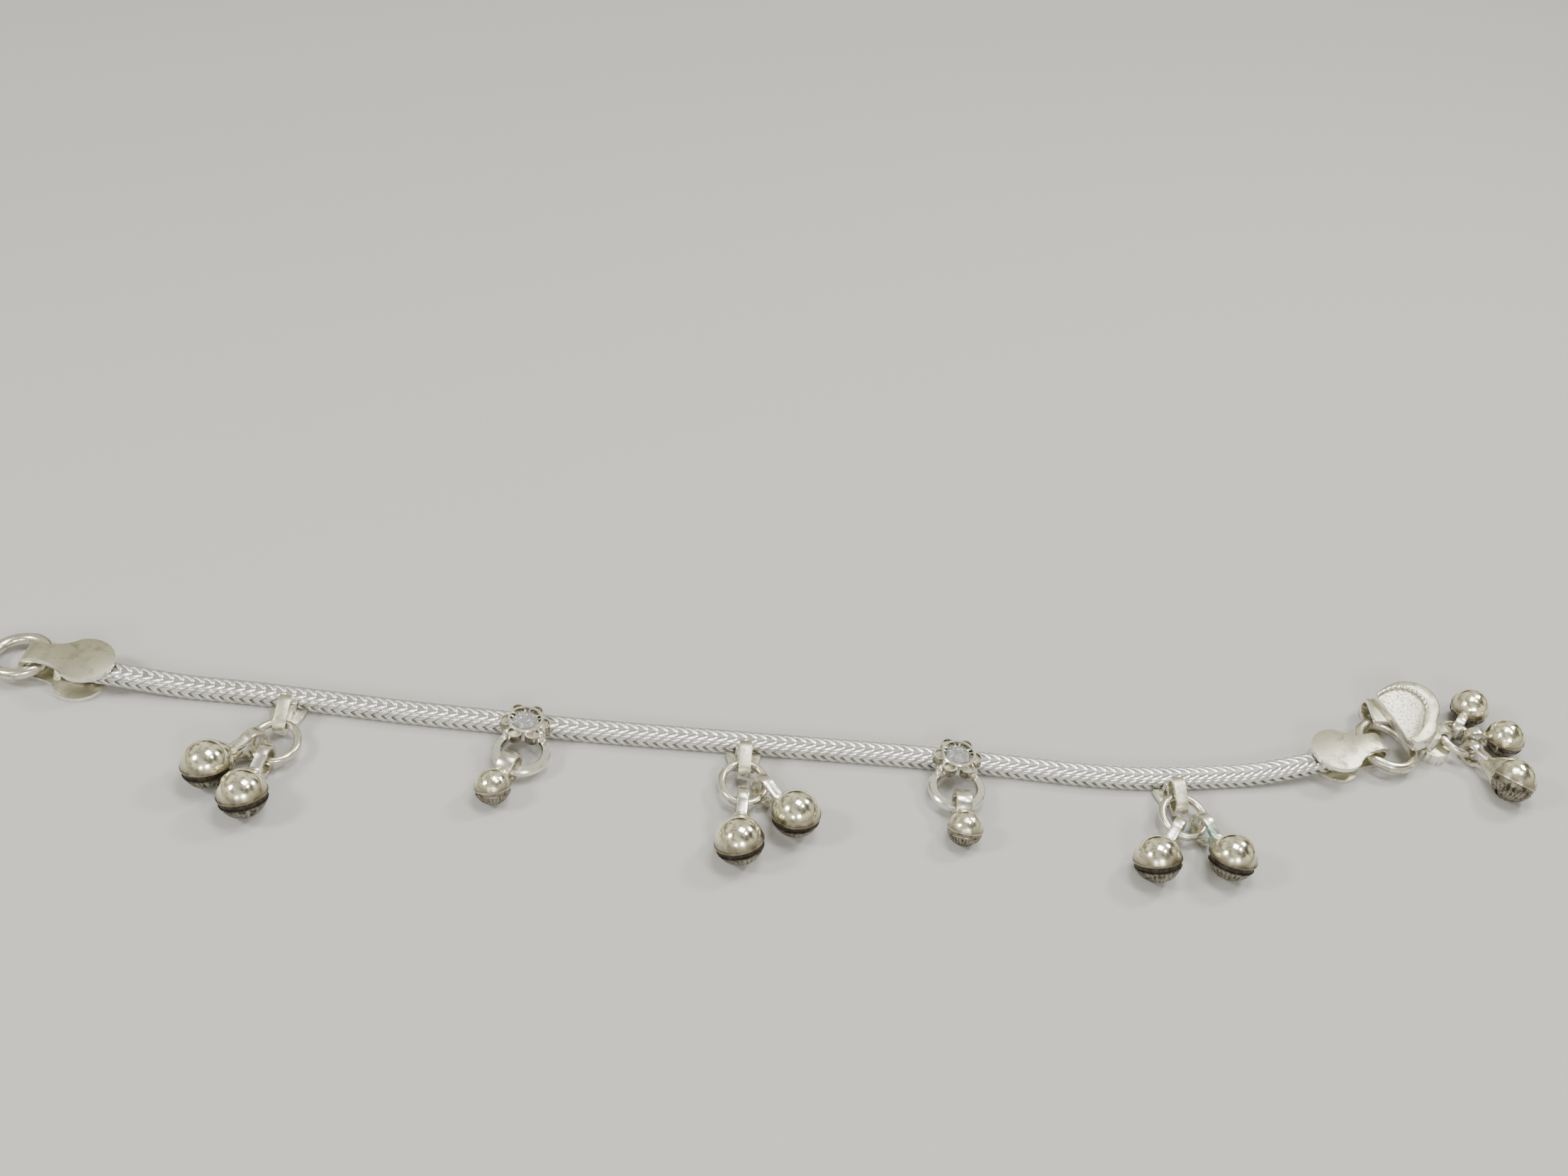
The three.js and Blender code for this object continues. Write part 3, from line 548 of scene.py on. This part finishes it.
polished_silver = silver(
    "polished_silver", POLISHED_BRIGHT, POLISHED_DARK, polish=0.06, dullness=0.3,
    patch=420, grain=2500, tarnish=0.35, bump=0.12, recess=True,
)
tarnished_and_shaded_silver = silver(
    "tarnished_and_shaded_silver", SHADED_SILVER_BRIGHT, FLUTE_DARK, polish=0.18, dullness=0.45,
    patch=1100, grain=2200, tarnish=1, bump=2, recess=True,
)
dimpled_silver = silver(
    "dimpled_silver", POLISHED_BRIGHT, POLISHED_DARK, polish=0.07, dullness=0.35,
    patch=520, grain=1100, tarnish=0.4, bump=2.6, recess=True,
)
stained_silver = silver(
    "stained_silver", WIRE_BRIGHT, STAIN_DARK, polish=0.2, dullness=0.7,
    patch=420, grain=3000, tarnish=1, bump=0.4,
)


def bell_frame(node, size):
    """Matrix at the middle of a frame node's ball, with X towards its eye, and the eye's reach."""
    points = node_points(node)
    radius = size["ball"] / 2
    top = points[points[:, 2] > points[:, 2].max() - radius / 2]
    centre = np.array((*top[:, :2].mean(axis=0), radius))
    for _ in range(BALL_ROUNDS):
        away = points - centre
        far = np.linalg.norm(away, axis=1)
        on_ball = np.abs(far - radius) < radius * BALL_SLACK
        centre = (points[on_ball] - away[on_ball] / far[on_ball, None] * radius).mean(axis=0)
    away = points - centre
    far = np.linalg.norm(away, axis=1)
    eye = away[far > radius + size["eye"] / 2].mean(axis=0)
    outermost = (away @ eye).max() / np.linalg.norm(eye)
    return frame_at(centre, eye, (0, 0, 1)), outermost - size["eye"] / 2


def bell_ball(bm, size, stance):
    """Dome, rim and fluted half round the origin, made upright and then put in its stance."""
    recess = bm.verts.layers.float["recess"]
    radius = size["ball"] / 2
    start = len(bm.verts)
    top_band = BELL_BANDS[0][0]
    low_band = BELL_BANDS[-1][0]
    dome = np.linspace(math.pi / 2, math.asin(top_band), DOME_STATIONS)
    cup = np.linspace(math.asin(low_band), -math.pi / 2, DOME_STATIONS)
    profile = [(math.sin(turn), 0) for turn in dome]
    profile += BELL_BANDS
    profile += [(math.sin(turn), 0) for turn in cup]
    profile = [
        (radius * (math.sqrt(max(0, 1 - height ** 2)) + stand * size["groove"]), radius * height)
        for height, stand in profile
    ]
    chain = [bm.verts.new((x, 0, z)) for x, z in profile]
    edges = [bm.edges.new(pair) for pair in zip(chain, chain[1:])]
    bmesh.ops.spin(
        bm, geom=chain + edges, cent=(0, 0, 0), axis=(0, 0, 1),
        angle=2 * math.pi, steps=BELL_STEPS, use_merge=True,
    )
    bm.verts.ensure_lookup_table()
    bmesh.ops.remove_doubles(bm, verts=bm.verts[start:], dist=WELD)
    bm.verts.ensure_lookup_table()
    made = bm.verts[start:]
    for vert in made:
        step = round(math.atan2(vert.co.y, vert.co.x) / (2 * math.pi) * BELL_STEPS)
        height = vert.co.z / radius
        # Painted shade in the groove and the flutes' valleys, and a painted dark reflection band on the
        # dome near the rim
        if low_band * BAND_END < height < -top_band / 2:
            vert[recess] = BAND_SHADE * size["groove"]
        elif height > 0:
            vert[recess] = RIM_SHADE * max(0, 1 - height / RIM_SHADE_HEIGHT)
        elif height < low_band * FLUTE_START and step % 2:
            fade = math.sin(min(1, (1 + height) * FLUTE_FADE) * math.pi / 2)
            vert.co -= vert.co.normalized() * FLUTE_DEPTH * fade
            vert[recess] = fade * FLUTE_SHADE
    # Below the rim the ball takes the darker silver, painted as the shade and dark reflections under it
    for face in {face for vert in made for face in vert.link_faces}:
        face.material_index = 1 if face.calc_center_median().z < -radius * top_band else 0
    cut_slit(bm, size, recess)
    bm.verts.ensure_lookup_table()
    bmesh.ops.transform(bm, matrix=stance, verts=bm.verts[start:])


def cut_slit(bm, size, recess):
    """Slit across the bottom of the ball, let in as a narrow trench."""
    half = size["ball"] * SLIT_SHARE
    below = -size["ball"] / 4
    for normal, at in (((0, 1, 0), SLIT_HALF), ((1, 0, 0), half)):
        for sign in (1, -1):
            low = [
                face for face in bm.faces
                if face.material_index == 1 and face.calc_center_median().z < below
            ]
            edges = {edge for face in low for edge in face.edges}
            verts = {vert for face in low for vert in face.verts}
            bmesh.ops.bisect_plane(
                bm, geom=low + list(edges) + list(verts), dist=SLIT_SNAP,
                plane_co=Vector(normal) * at * sign, plane_no=normal,
            )
    inside = []
    for face in bm.faces:
        middle = face.calc_center_median()
        if face.material_index == 1 and middle.z < below:
            if abs(middle.y) < SLIT_HALF and abs(middle.x) < half:
                inside.append(face)
    grown = bmesh.ops.extrude_face_region(bm, geom=inside)["geom"]
    floor = [item for item in grown if isinstance(item, bmesh.types.BMVert)]
    bmesh.ops.delete(bm, geom=inside, context="FACES")
    # The trench floor is painted fully dark, as the shade inside the bell
    for vert in floor:
        vert[recess] = 1
    bmesh.ops.translate(bm, vec=(0, 0, SLIT_DEPTH), verts=floor)


def strap_eye(size, reach):
    """Strap that leaves the ball, goes round the eye and comes back to the ball."""
    bm = bmesh.new()
    bm.verts.layers.float.new("recess")
    middle = (size["eye"] - size["wall"]) / 2
    root = size["ball"] / 2 * STRAP_ROOT
    turns = np.linspace(math.pi - EYE_OPEN, EYE_OPEN - math.pi, EYE_STATIONS)
    path = [Vector((root, 0, size["wall"] / 2))]
    path += [
        Vector((reach + middle * math.cos(turn), 0, middle * math.sin(turn)))
        for turn in turns
    ]
    path.append(Vector((root, 0, -size["wall"] / 2)))
    matrices = []
    for k, place in enumerate(path):
        ahead = path[min(k + 1, len(path) - 1)] - path[max(k - 1, 0)]
        size_here = Matrix.Diagonal((size["width"] / 2, size["wall"] / 2, 1, 1))
        ahead.normalize()
        across = Vector((0, 1, 0))
        turn = Matrix((across, ahead.cross(across), ahead)).transposed().to_4x4()
        matrices.append(Matrix.Translation(place) @ turn @ size_here)
    bmesh.ops.create_circle(bm, cap_ends=True, segments=4, radius=math.sqrt(2))
    bmesh.ops.rotate(bm, matrix=Matrix.Rotation(math.pi / 4, 3, "Z"), verts=bm.verts)
    bm.faces.ensure_lookup_table()
    swept(bm, bm.faces[0], matrices)
    bmesh.ops.recalc_face_normals(bm, faces=bm.faces)
    soften_edges(bm, STRAP_EDGE, turn=STRAP_TURN)
    lump = Matrix.Translation((size["ball"] / 2, 0, 0)) @ Matrix.Diagonal(NECK_SOLDER).to_4x4()
    bmesh.ops.create_icosphere(bm, subdivisions=2, radius=1, matrix=lump)
    for face in bm.faces:
        face.material_index = 2
    return bm


def bell_neck(bm, size, reach):
    """Flared neck by which the ball is drawn out towards its strap, left open inside both."""
    start = len(bm.verts)
    radius = size["ball"] / 2
    eye_edge = reach - size["eye"] / 2
    waist = (radius * math.cos(NECK_TURN), radius * math.sin(NECK_TURN))
    middle = (waist[0] + (eye_edge - waist[0]) * NECK_SHARE, (waist[1] + size["width"] / 2) / 2)
    profile = [
        (waist[0] - radius * NECK_SINK, waist[1] * NECK_FLARE), waist, middle,
        (eye_edge, size["width"] / 2), (eye_edge + size["wall"] / 2, size["width"] / 2),
    ]
    chain = [bm.verts.new((along, 0, out)) for along, out in profile]
    edges = [bm.edges.new(pair) for pair in zip(chain, chain[1:])]
    bmesh.ops.spin(
        bm, geom=chain + edges, cent=(0, 0, 0), axis=(1, 0, 0),
        angle=2 * math.pi, steps=NECK_STEPS, use_merge=True,
    )
    bm.verts.ensure_lookup_table()
    bmesh.ops.remove_doubles(bm, verts=bm.verts[start:], dist=WELD)
    bm.verts.ensure_lookup_table()
    for face in {face for vert in bm.verts[start:] for face in vert.link_faces}:
        face.material_index = 2


def bell(node, kind, finish, to_chain, to_clasp):
    """Ball, neck and strap together, where the frame has them."""
    size = BELL_SIZES[kind]
    place, reach = bell_frame(node, size)
    bm = strap_eye(size, reach)
    bell_neck(bm, size, reach)
    lean = Matrix.Rotation(math.radians(-to_chain), 4, "X")
    lean = Matrix.Rotation(math.radians(to_clasp), 4, "Y") @ lean
    bell_ball(bm, size, place.to_3x3().inverted().to_4x4() @ lean)
    bmesh.ops.recalc_face_normals(bm, faces=bm.faces)
    bmesh.ops.transform(bm, matrix=place, verts=bm.verts)
    dome = dimpled_silver if finish == "dimpled" else polished_silver
    strap = stained_silver if finish == "stained" else wire_silver
    finish_piece(bm, f"{node}_shell", [dome, tarnished_and_shaded_silver, strap], node)


for node, build in BELLS.items():
    bell(node, *build)

# The flower links
# A cup for the stone with six round petals soldered round it, on a flat ring that hangs in front
# of the chain. Each petal has a raised, rubbed rim round a sunk, grained middle, and sides in a
# darker silver painted as the shade on them.
FLOWERS = (1, 2)
PETALS = 6
PETAL_SIZE = 0.0025
PETAL_CIRCLE = 0.0058
PETAL_HEIGHT = 0.0015
PETAL_RIM = 0.00024
PETAL_SLOPE = PETAL_RIM / 3
PETAL_SINK = 0.00042
PETAL_SIDES = 20
CUP_SIZE = 0.0059
CUP_WALL = 0.00045
CUP_HEIGHT = 0.0022
CUP_FLOOR = CUP_HEIGHT / 3
CUP_LIP = 0.00015
STONE_DEPTH = 0.0015
STONE_CROWN = 0.00065
FLAT_RING = 0.0096
FLAT_BAND = 0.00155
FLAT_THICK = 0.0012
FLAT_EDGE = 0.00025
FLAT_ROUNDS = 2
FLOWER_STEPS = 48
LUMP_SIZE = 0.0011
LUMP_SHARE = 0.6
GRAINED_BRIGHT = (0.58, 0.55, 0.45, 1)

grained_silver = silver(
    "grained_silver", GRAINED_BRIGHT, FROSTED_DARK, polish=0.24, dullness=0.5,
    patch=2400, grain=5200, tarnish=1, bump=1.6,
)


def spun(bm, profile, steps):
    """Closed profile of radius and height turned round the Z axis."""
    start = len(bm.verts)
    ring = [bm.verts.new((radius, 0, height)) for radius, height in profile]
    edges = [bm.edges.new(pair) for pair in zip(ring, ring[1:] + ring[:1])]
    bmesh.ops.spin(
        bm, geom=ring + edges, cent=(0, 0, 0), axis=(0, 0, 1),
        angle=2 * math.pi, steps=steps, use_merge=True,
    )
    bm.verts.ensure_lookup_table()
    bmesh.ops.remove_doubles(bm, verts=bm.verts[start:], dist=WELD)
    bm.verts.ensure_lookup_table()
    return bm.verts[start:]


def petal(bm, matrix):
    """Round petal whose middle is sunk inside a raised rim."""
    start = len(bm.verts)
    made = bmesh.ops.create_circle(bm, cap_ends=True, segments=PETAL_SIDES, radius=PETAL_SIZE / 2)
    face = made["verts"][0].link_faces[0]
    grown = bmesh.ops.extrude_face_region(bm, geom=[face])["geom"]
    top = [item for item in grown if isinstance(item, bmesh.types.BMVert)]
    lid = next(item for item in grown if isinstance(item, bmesh.types.BMFace))
    bmesh.ops.translate(bm, vec=(0, 0, PETAL_HEIGHT), verts=top)
    rim = bmesh.ops.inset_region(bm, faces=[lid], thickness=PETAL_RIM, depth=0)
    for face in rim["faces"]:
        face.material_index = 1
    bmesh.ops.inset_region(bm, faces=[lid], thickness=PETAL_SLOPE, depth=-PETAL_SINK)
    lid.material_index = 2
    bm.verts.ensure_lookup_table()
    bmesh.ops.transform(bm, matrix=matrix, verts=bm.verts[start:])


def flower_places(number):
    """Middle of the cup at its underside, and the middle of the flat ring, from the frame."""
    low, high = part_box(f"stone_{number}")
    base = low[2] + STONE_DEPTH - (CUP_HEIGHT - STONE_CROWN)
    cup = Vector(((low[0] + high[0]) / 2, (low[1] + high[1]) / 2, base))
    points = node_points(f"flower_link_{number}")
    floor = points[points[:, 2] < points[:, 2].min() + WELD]
    sums = np.column_stack((2 * floor[:, :2], np.ones(len(floor))))
    for _ in range(FLAT_ROUNDS):
        fit = np.linalg.lstsq(sums, (floor[:, :2] ** 2).sum(axis=1), rcond=None)[0]
        out = np.linalg.norm(floor[:, :2] - fit[:2], axis=1) > FLAT_RING / 2 - FLAT_BAND / 4
        floor = floor[out]
        sums = sums[out]
    return cup, Vector((fit[0], fit[1], floor[0, 2]))


def flower_link(number):
    """Petals, cup and flat ring, with a lump of solder at each place where they meet."""
    cup, ring = flower_places(number)
    forward = Vector((ring.x - cup.x, ring.y - cup.y, 0)).normalized()
    yaw = Matrix.Rotation(math.atan2(forward.x, -forward.y), 4, "Z")
    bm = bmesh.new()
    for k in range(PETALS):
        turn = k * 2 * math.pi / PETALS
        at = Vector((math.cos(turn), math.sin(turn), 0)) * PETAL_CIRCLE / 2
        petal(bm, Matrix.Translation(cup) @ yaw @ Matrix.Translation(at))
    outer = CUP_SIZE / 2
    inner = outer - CUP_WALL
    bezel = spun(bm, [
        (inner - CUP_WALL, 0), (outer, 0), (outer, CUP_HEIGHT - CUP_LIP), (outer - CUP_LIP, CUP_HEIGHT),
        (inner, CUP_HEIGHT), (inner, CUP_FLOOR), (inner - CUP_WALL, CUP_FLOOR),
    ], FLOWER_STEPS)
    for face in {face for vert in bezel for face in vert.link_faces}:
        face.material_index = 1
    bmesh.ops.transform(bm, matrix=Matrix.Translation(cup), verts=bezel)
    outer = FLAT_RING / 2
    inner = outer - FLAT_BAND
    band = spun(bm, [
        (inner + FLAT_EDGE, 0), (outer - FLAT_EDGE, 0), (outer, FLAT_EDGE), (outer, FLAT_THICK - FLAT_EDGE),
        (outer - FLAT_EDGE, FLAT_THICK), (inner + FLAT_EDGE, FLAT_THICK),
        (inner, FLAT_THICK - FLAT_EDGE), (inner, FLAT_EDGE),
    ], FLOWER_STEPS)
    bmesh.ops.transform(bm, matrix=Matrix.Translation(ring), verts=band)
    for face in {face for vert in band for face in vert.link_faces}:
        face.material_index = 1
    reach = (FLAT_RING - FLAT_BAND) / 2
    for side in (-1, 1):
        out = side * (CUP_SIZE / 2 - CUP_WALL)
        at = ring + yaw @ Vector((out, math.sqrt(reach ** 2 - out ** 2), 0))
        height = cup.z + PETAL_HEIGHT / 2 - ring.z
        size = Matrix.Diagonal((LUMP_SIZE, LUMP_SIZE, height * LUMP_SHARE, 1))
        place = Matrix.Translation(at + Vector((0, 0, height / 2))) @ size
        lump = bmesh.ops.create_icosphere(bm, subdivisions=2, radius=1, matrix=place)["verts"]
        for face in {face for vert in lump for face in vert.link_faces}:
            face.material_index = 1
    bmesh.ops.recalc_face_normals(bm, faces=bm.faces)
    # Faces left on the first material, the petals' sides, take the darker silver painted as shade
    finish_piece(
        bm, f"flower_link_{number}_cast", [tarnished_and_shaded_silver, rubbed_edge, grained_silver],
        f"flower_link_{number}",
    )


for number in FLOWERS:
    flower_link(number)

# The stones
# Clear, round-cut glass stones, one held in each flower's cup. Each has a flat table with two rows
# of facets round it, and glitters unevenly.
STONE_COLOR = (0.98, 0.98, 0.96, 1)
STONE_HAZE = (0.74, 0.74, 0.7, 1)
STONE_INDEX = 1.9
STONE_CLEAR = 0.75
STONE_PATCHES = 700
STONE_SMOOTH = 0.01
STONE_ROUGH = 0.1
STONE_GRAIN = 1100
STONE_RELIEF = 0.0008
STONE_SIDES = 12
STONE_CRISP = 1
# From the culet up: share of the girdle's radius, share of the height, and turn in half sides
STONE_RINGS = ((0.1, 0, 1), (0.62, 0.4, 0), (1, 0.67, 1), (1, 0.72, 1), (0.8, 0.9, 0), (0.5, 1, 1))


def stone_glass():
    """Clear glass with a faint haze and small uneven facets."""
    material = bpy.data.materials.new("clear_stone")
    material.use_nodes = True
    nodes = material.node_tree.nodes
    links = material.node_tree.links
    shader = nodes["Principled BSDF"]
    shader.inputs["Transmission Weight"].default_value = STONE_CLEAR
    shader.inputs["IOR"].default_value = STONE_INDEX
    where = nodes.new("ShaderNodeTexCoord")
    haze = nodes.new("ShaderNodeTexNoise")
    haze.inputs["Scale"].default_value = STONE_PATCHES
    links.new(where.outputs["Object"], haze.inputs["Vector"])
    tint = nodes.new("ShaderNodeMix")
    tint.data_type = "RGBA"
    tint.inputs["A"].default_value = STONE_COLOR
    tint.inputs["B"].default_value = STONE_HAZE
    links.new(haze.outputs["Fac"], tint.inputs["Factor"])
    links.new(tint.outputs["Result"], shader.inputs["Base Color"])
    smear = nodes.new("ShaderNodeMapRange")
    smear.inputs["To Min"].default_value = STONE_SMOOTH
    smear.inputs["To Max"].default_value = STONE_ROUGH
    links.new(haze.outputs["Fac"], smear.inputs["Value"])
    links.new(smear.outputs["Result"], shader.inputs["Roughness"])
    cells = nodes.new("ShaderNodeTexVoronoi")
    cells.inputs["Scale"].default_value = STONE_GRAIN
    links.new(where.outputs["Object"], cells.inputs["Vector"])
    relief = nodes.new("ShaderNodeBump")
    relief.inputs["Distance"].default_value = STONE_RELIEF
    links.new(cells.outputs["Distance"], relief.inputs["Height"])
    links.new(relief.outputs["Normal"], shader.inputs["Normal"])
    return material


def cut_stone(number):
    """Stone with a table, two rows of crown facets and two rows below the girdle."""
    low, high = (Vector(corner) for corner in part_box(f"stone_{number}"))
    middle = (low + high) / 2
    bm = bmesh.new()
    rings = []
    for radius, share, turn in STONE_RINGS:
        made = bmesh.ops.create_circle(bm, segments=STONE_SIDES, radius=radius * (high.x - low.x) / 2)
        height = low.z + share * (high.z - low.z)
        place = Matrix.Translation((middle.x, middle.y, height))
        place = place @ Matrix.Rotation(turn * math.pi / STONE_SIDES, 4, "Z")
        bmesh.ops.transform(bm, matrix=place, verts=made["verts"])
        rings.append(list({edge for vert in made["verts"] for edge in vert.link_edges}))
    for lower, upper in zip(rings, rings[1:]):
        bmesh.ops.bridge_loops(bm, edges=lower + upper)
    for ring in (rings[0], rings[-1]):
        bmesh.ops.edgeloop_fill(bm, edges=ring)
    bmesh.ops.triangulate(bm, faces=[face for face in bm.faces if len(face.verts) == 4])
    bmesh.ops.recalc_face_normals(bm, faces=bm.faces)
    finish_piece(
        bm, f"stone_{number}_cut", [clear_stone], f"stone_{number}", sharp=STONE_CRISP
    )


clear_stone = stone_glass()
for number in FLOWERS:
    cut_stone(number)

# The leaf clasp
# A cast leaf with a grained, sunk plate inside a frosted border with rubbed edges, and beads along
# its far side. A milled knob stands on a stem under it, a bent hook behind the tip goes over the
# right ring, and a small eye takes the tassel.
LEAF_EDGE = 0.0002
LEAF_LEVEL = 0.9
LEAF_BEAD = 0.00045
BEAD_RAISE = Vector((0, 0, 0.0004))

leaf = softened("leaf_clasp", LEAF_EDGE)
level = [face for face in leaf.faces if face.normal.z > LEAF_LEVEL]
plate = max(level, key=lambda face: face.calc_area())
plate.material_index = 2
middle = plate.calc_center_median()
for place in [vert.co.copy() for vert in plate.verts if vert.co.y > middle.y]:
    place = Matrix.Translation(place + BEAD_RAISE)
    made = bmesh.ops.create_icosphere(leaf, subdivisions=2, radius=LEAF_BEAD, matrix=place)
    for vert in made["verts"]:
        for face in vert.link_faces:
            face.material_index = 1
finish_piece(
    leaf, "leaf_clasp_cast", [frosted_silver, rubbed_edge, grained_silver],
    "leaf_clasp",
)

# The floor and the light
# A plain pale sheet under the anklet, lit from above by a large soft light and from all round by
# five smaller ones, which give the metal its highlights.
FLOOR_SIZE = 8
FLOOR_COLOR = (0.42, 0.41, 0.39, 1)
FLOOR_ROUGHNESS = 0.9
# Each light's name, place, width and watts
LIGHTS = (
    ("overhead", (0.05, 0.1, 0.6), 0.2, 2.4),
    ("left_lamp", (-0.45, -0.1, 0.4), 0.1, 2.0),
    ("right_lamp", (0.4, 0.25, 0.45), 0.1, 2.0),
    ("front_lamp", (0.1, -0.5, 0.35), 0.12, 1.4),
    ("low_lamp", (-0.2, -0.55, 0.3), 0.07, 0.8),
    ("far_lamp", (0.25, -0.05, 0.6), 0.07, 0.9),
)


def floor_sheet():
    """Flat sheet that the anklet lies on."""
    bm = bmesh.new()
    bmesh.ops.create_grid(bm, x_segments=1, y_segments=1, size=FLOOR_SIZE / 2)
    mesh = bpy.data.meshes.new("floor_sheet")
    bm.to_mesh(mesh)
    bm.free()
    material = bpy.data.materials.new("floor_sheet")
    material.use_nodes = True
    shader = material.node_tree.nodes["Principled BSDF"]
    shader.inputs["Base Color"].default_value = FLOOR_COLOR
    shader.inputs["Roughness"].default_value = FLOOR_ROUGHNESS
    mesh.materials.append(material)
    sheet = bpy.data.objects.new("floor_sheet", mesh)
    bpy.context.scene.collection.objects.link(sheet)


floor_sheet()


def soft_light(name, place, size, watts):
    """Square light that faces the anklet."""
    lamp = bpy.data.lights.new(name, "AREA")
    lamp.size = size
    lamp.energy = watts
    holder = bpy.data.objects.new(name, lamp)
    holder.location = place
    holder.rotation_euler = (-Vector(place)).to_track_quat("-Z", "Y").to_euler()
    bpy.context.scene.collection.objects.link(holder)


for light in LIGHTS:
    soft_light(*light)

# The room that the silver mirrors: warm pale walls and a dimmer ceiling, with darker patches
ROOM_BANDS = (
    (0.0, (0.4, 0.38, 0.31, 1)),
    (0.15, (0.62, 0.59, 0.48, 1)),
    (0.45, (0.86, 0.83, 0.66, 1)),
    (0.8, (0.74, 0.72, 0.6, 1)),
    (1.0, (0.4, 0.4, 0.37, 1)),
)
ROOM_PATCHES = 2.2
ROOM_DARK_BELOW = 0.4
ROOM_BRIGHT_ABOVE = 0.55
ROOM_DARKEST = 0.12
ROOM_BRIGHTEST = 1.1
ROOM_MIDWAY = 0.5


def room():
    """World of colours banded by height, made dimmer in patches."""
    world = bpy.data.worlds.new("room")
    bpy.context.scene.world = world
    world.use_nodes = True
    nodes = world.node_tree.nodes
    links = world.node_tree.links
    where = nodes.new("ShaderNodeTexCoord")
    split = nodes.new("ShaderNodeSeparateXYZ")
    links.new(where.outputs["Generated"], split.inputs["Vector"])
    bands = nodes.new("ShaderNodeValToRGB")
    ramp = bands.color_ramp
    while len(ramp.elements) < len(ROOM_BANDS):
        ramp.elements.new(ROOM_MIDWAY)
    for element, (height, color) in zip(ramp.elements, ROOM_BANDS):
        element.position = height
        element.color = color
    links.new(split.outputs["Z"], bands.inputs["Fac"])
    links.new(bands.outputs["Color"], nodes["Background"].inputs["Color"])
    patches = nodes.new("ShaderNodeTexNoise")
    patches.inputs["Scale"].default_value = ROOM_PATCHES
    links.new(where.outputs["Generated"], patches.inputs["Vector"])
    spread = nodes.new("ShaderNodeMapRange")
    spread.inputs["From Min"].default_value = ROOM_DARK_BELOW
    spread.inputs["From Max"].default_value = ROOM_BRIGHT_ABOVE
    spread.inputs["To Min"].default_value = ROOM_DARKEST
    spread.inputs["To Max"].default_value = ROOM_BRIGHTEST
    links.new(patches.outputs["Fac"], spread.inputs["Value"])
    links.new(spread.outputs["Result"], nodes["Background"].inputs["Strength"])


room()
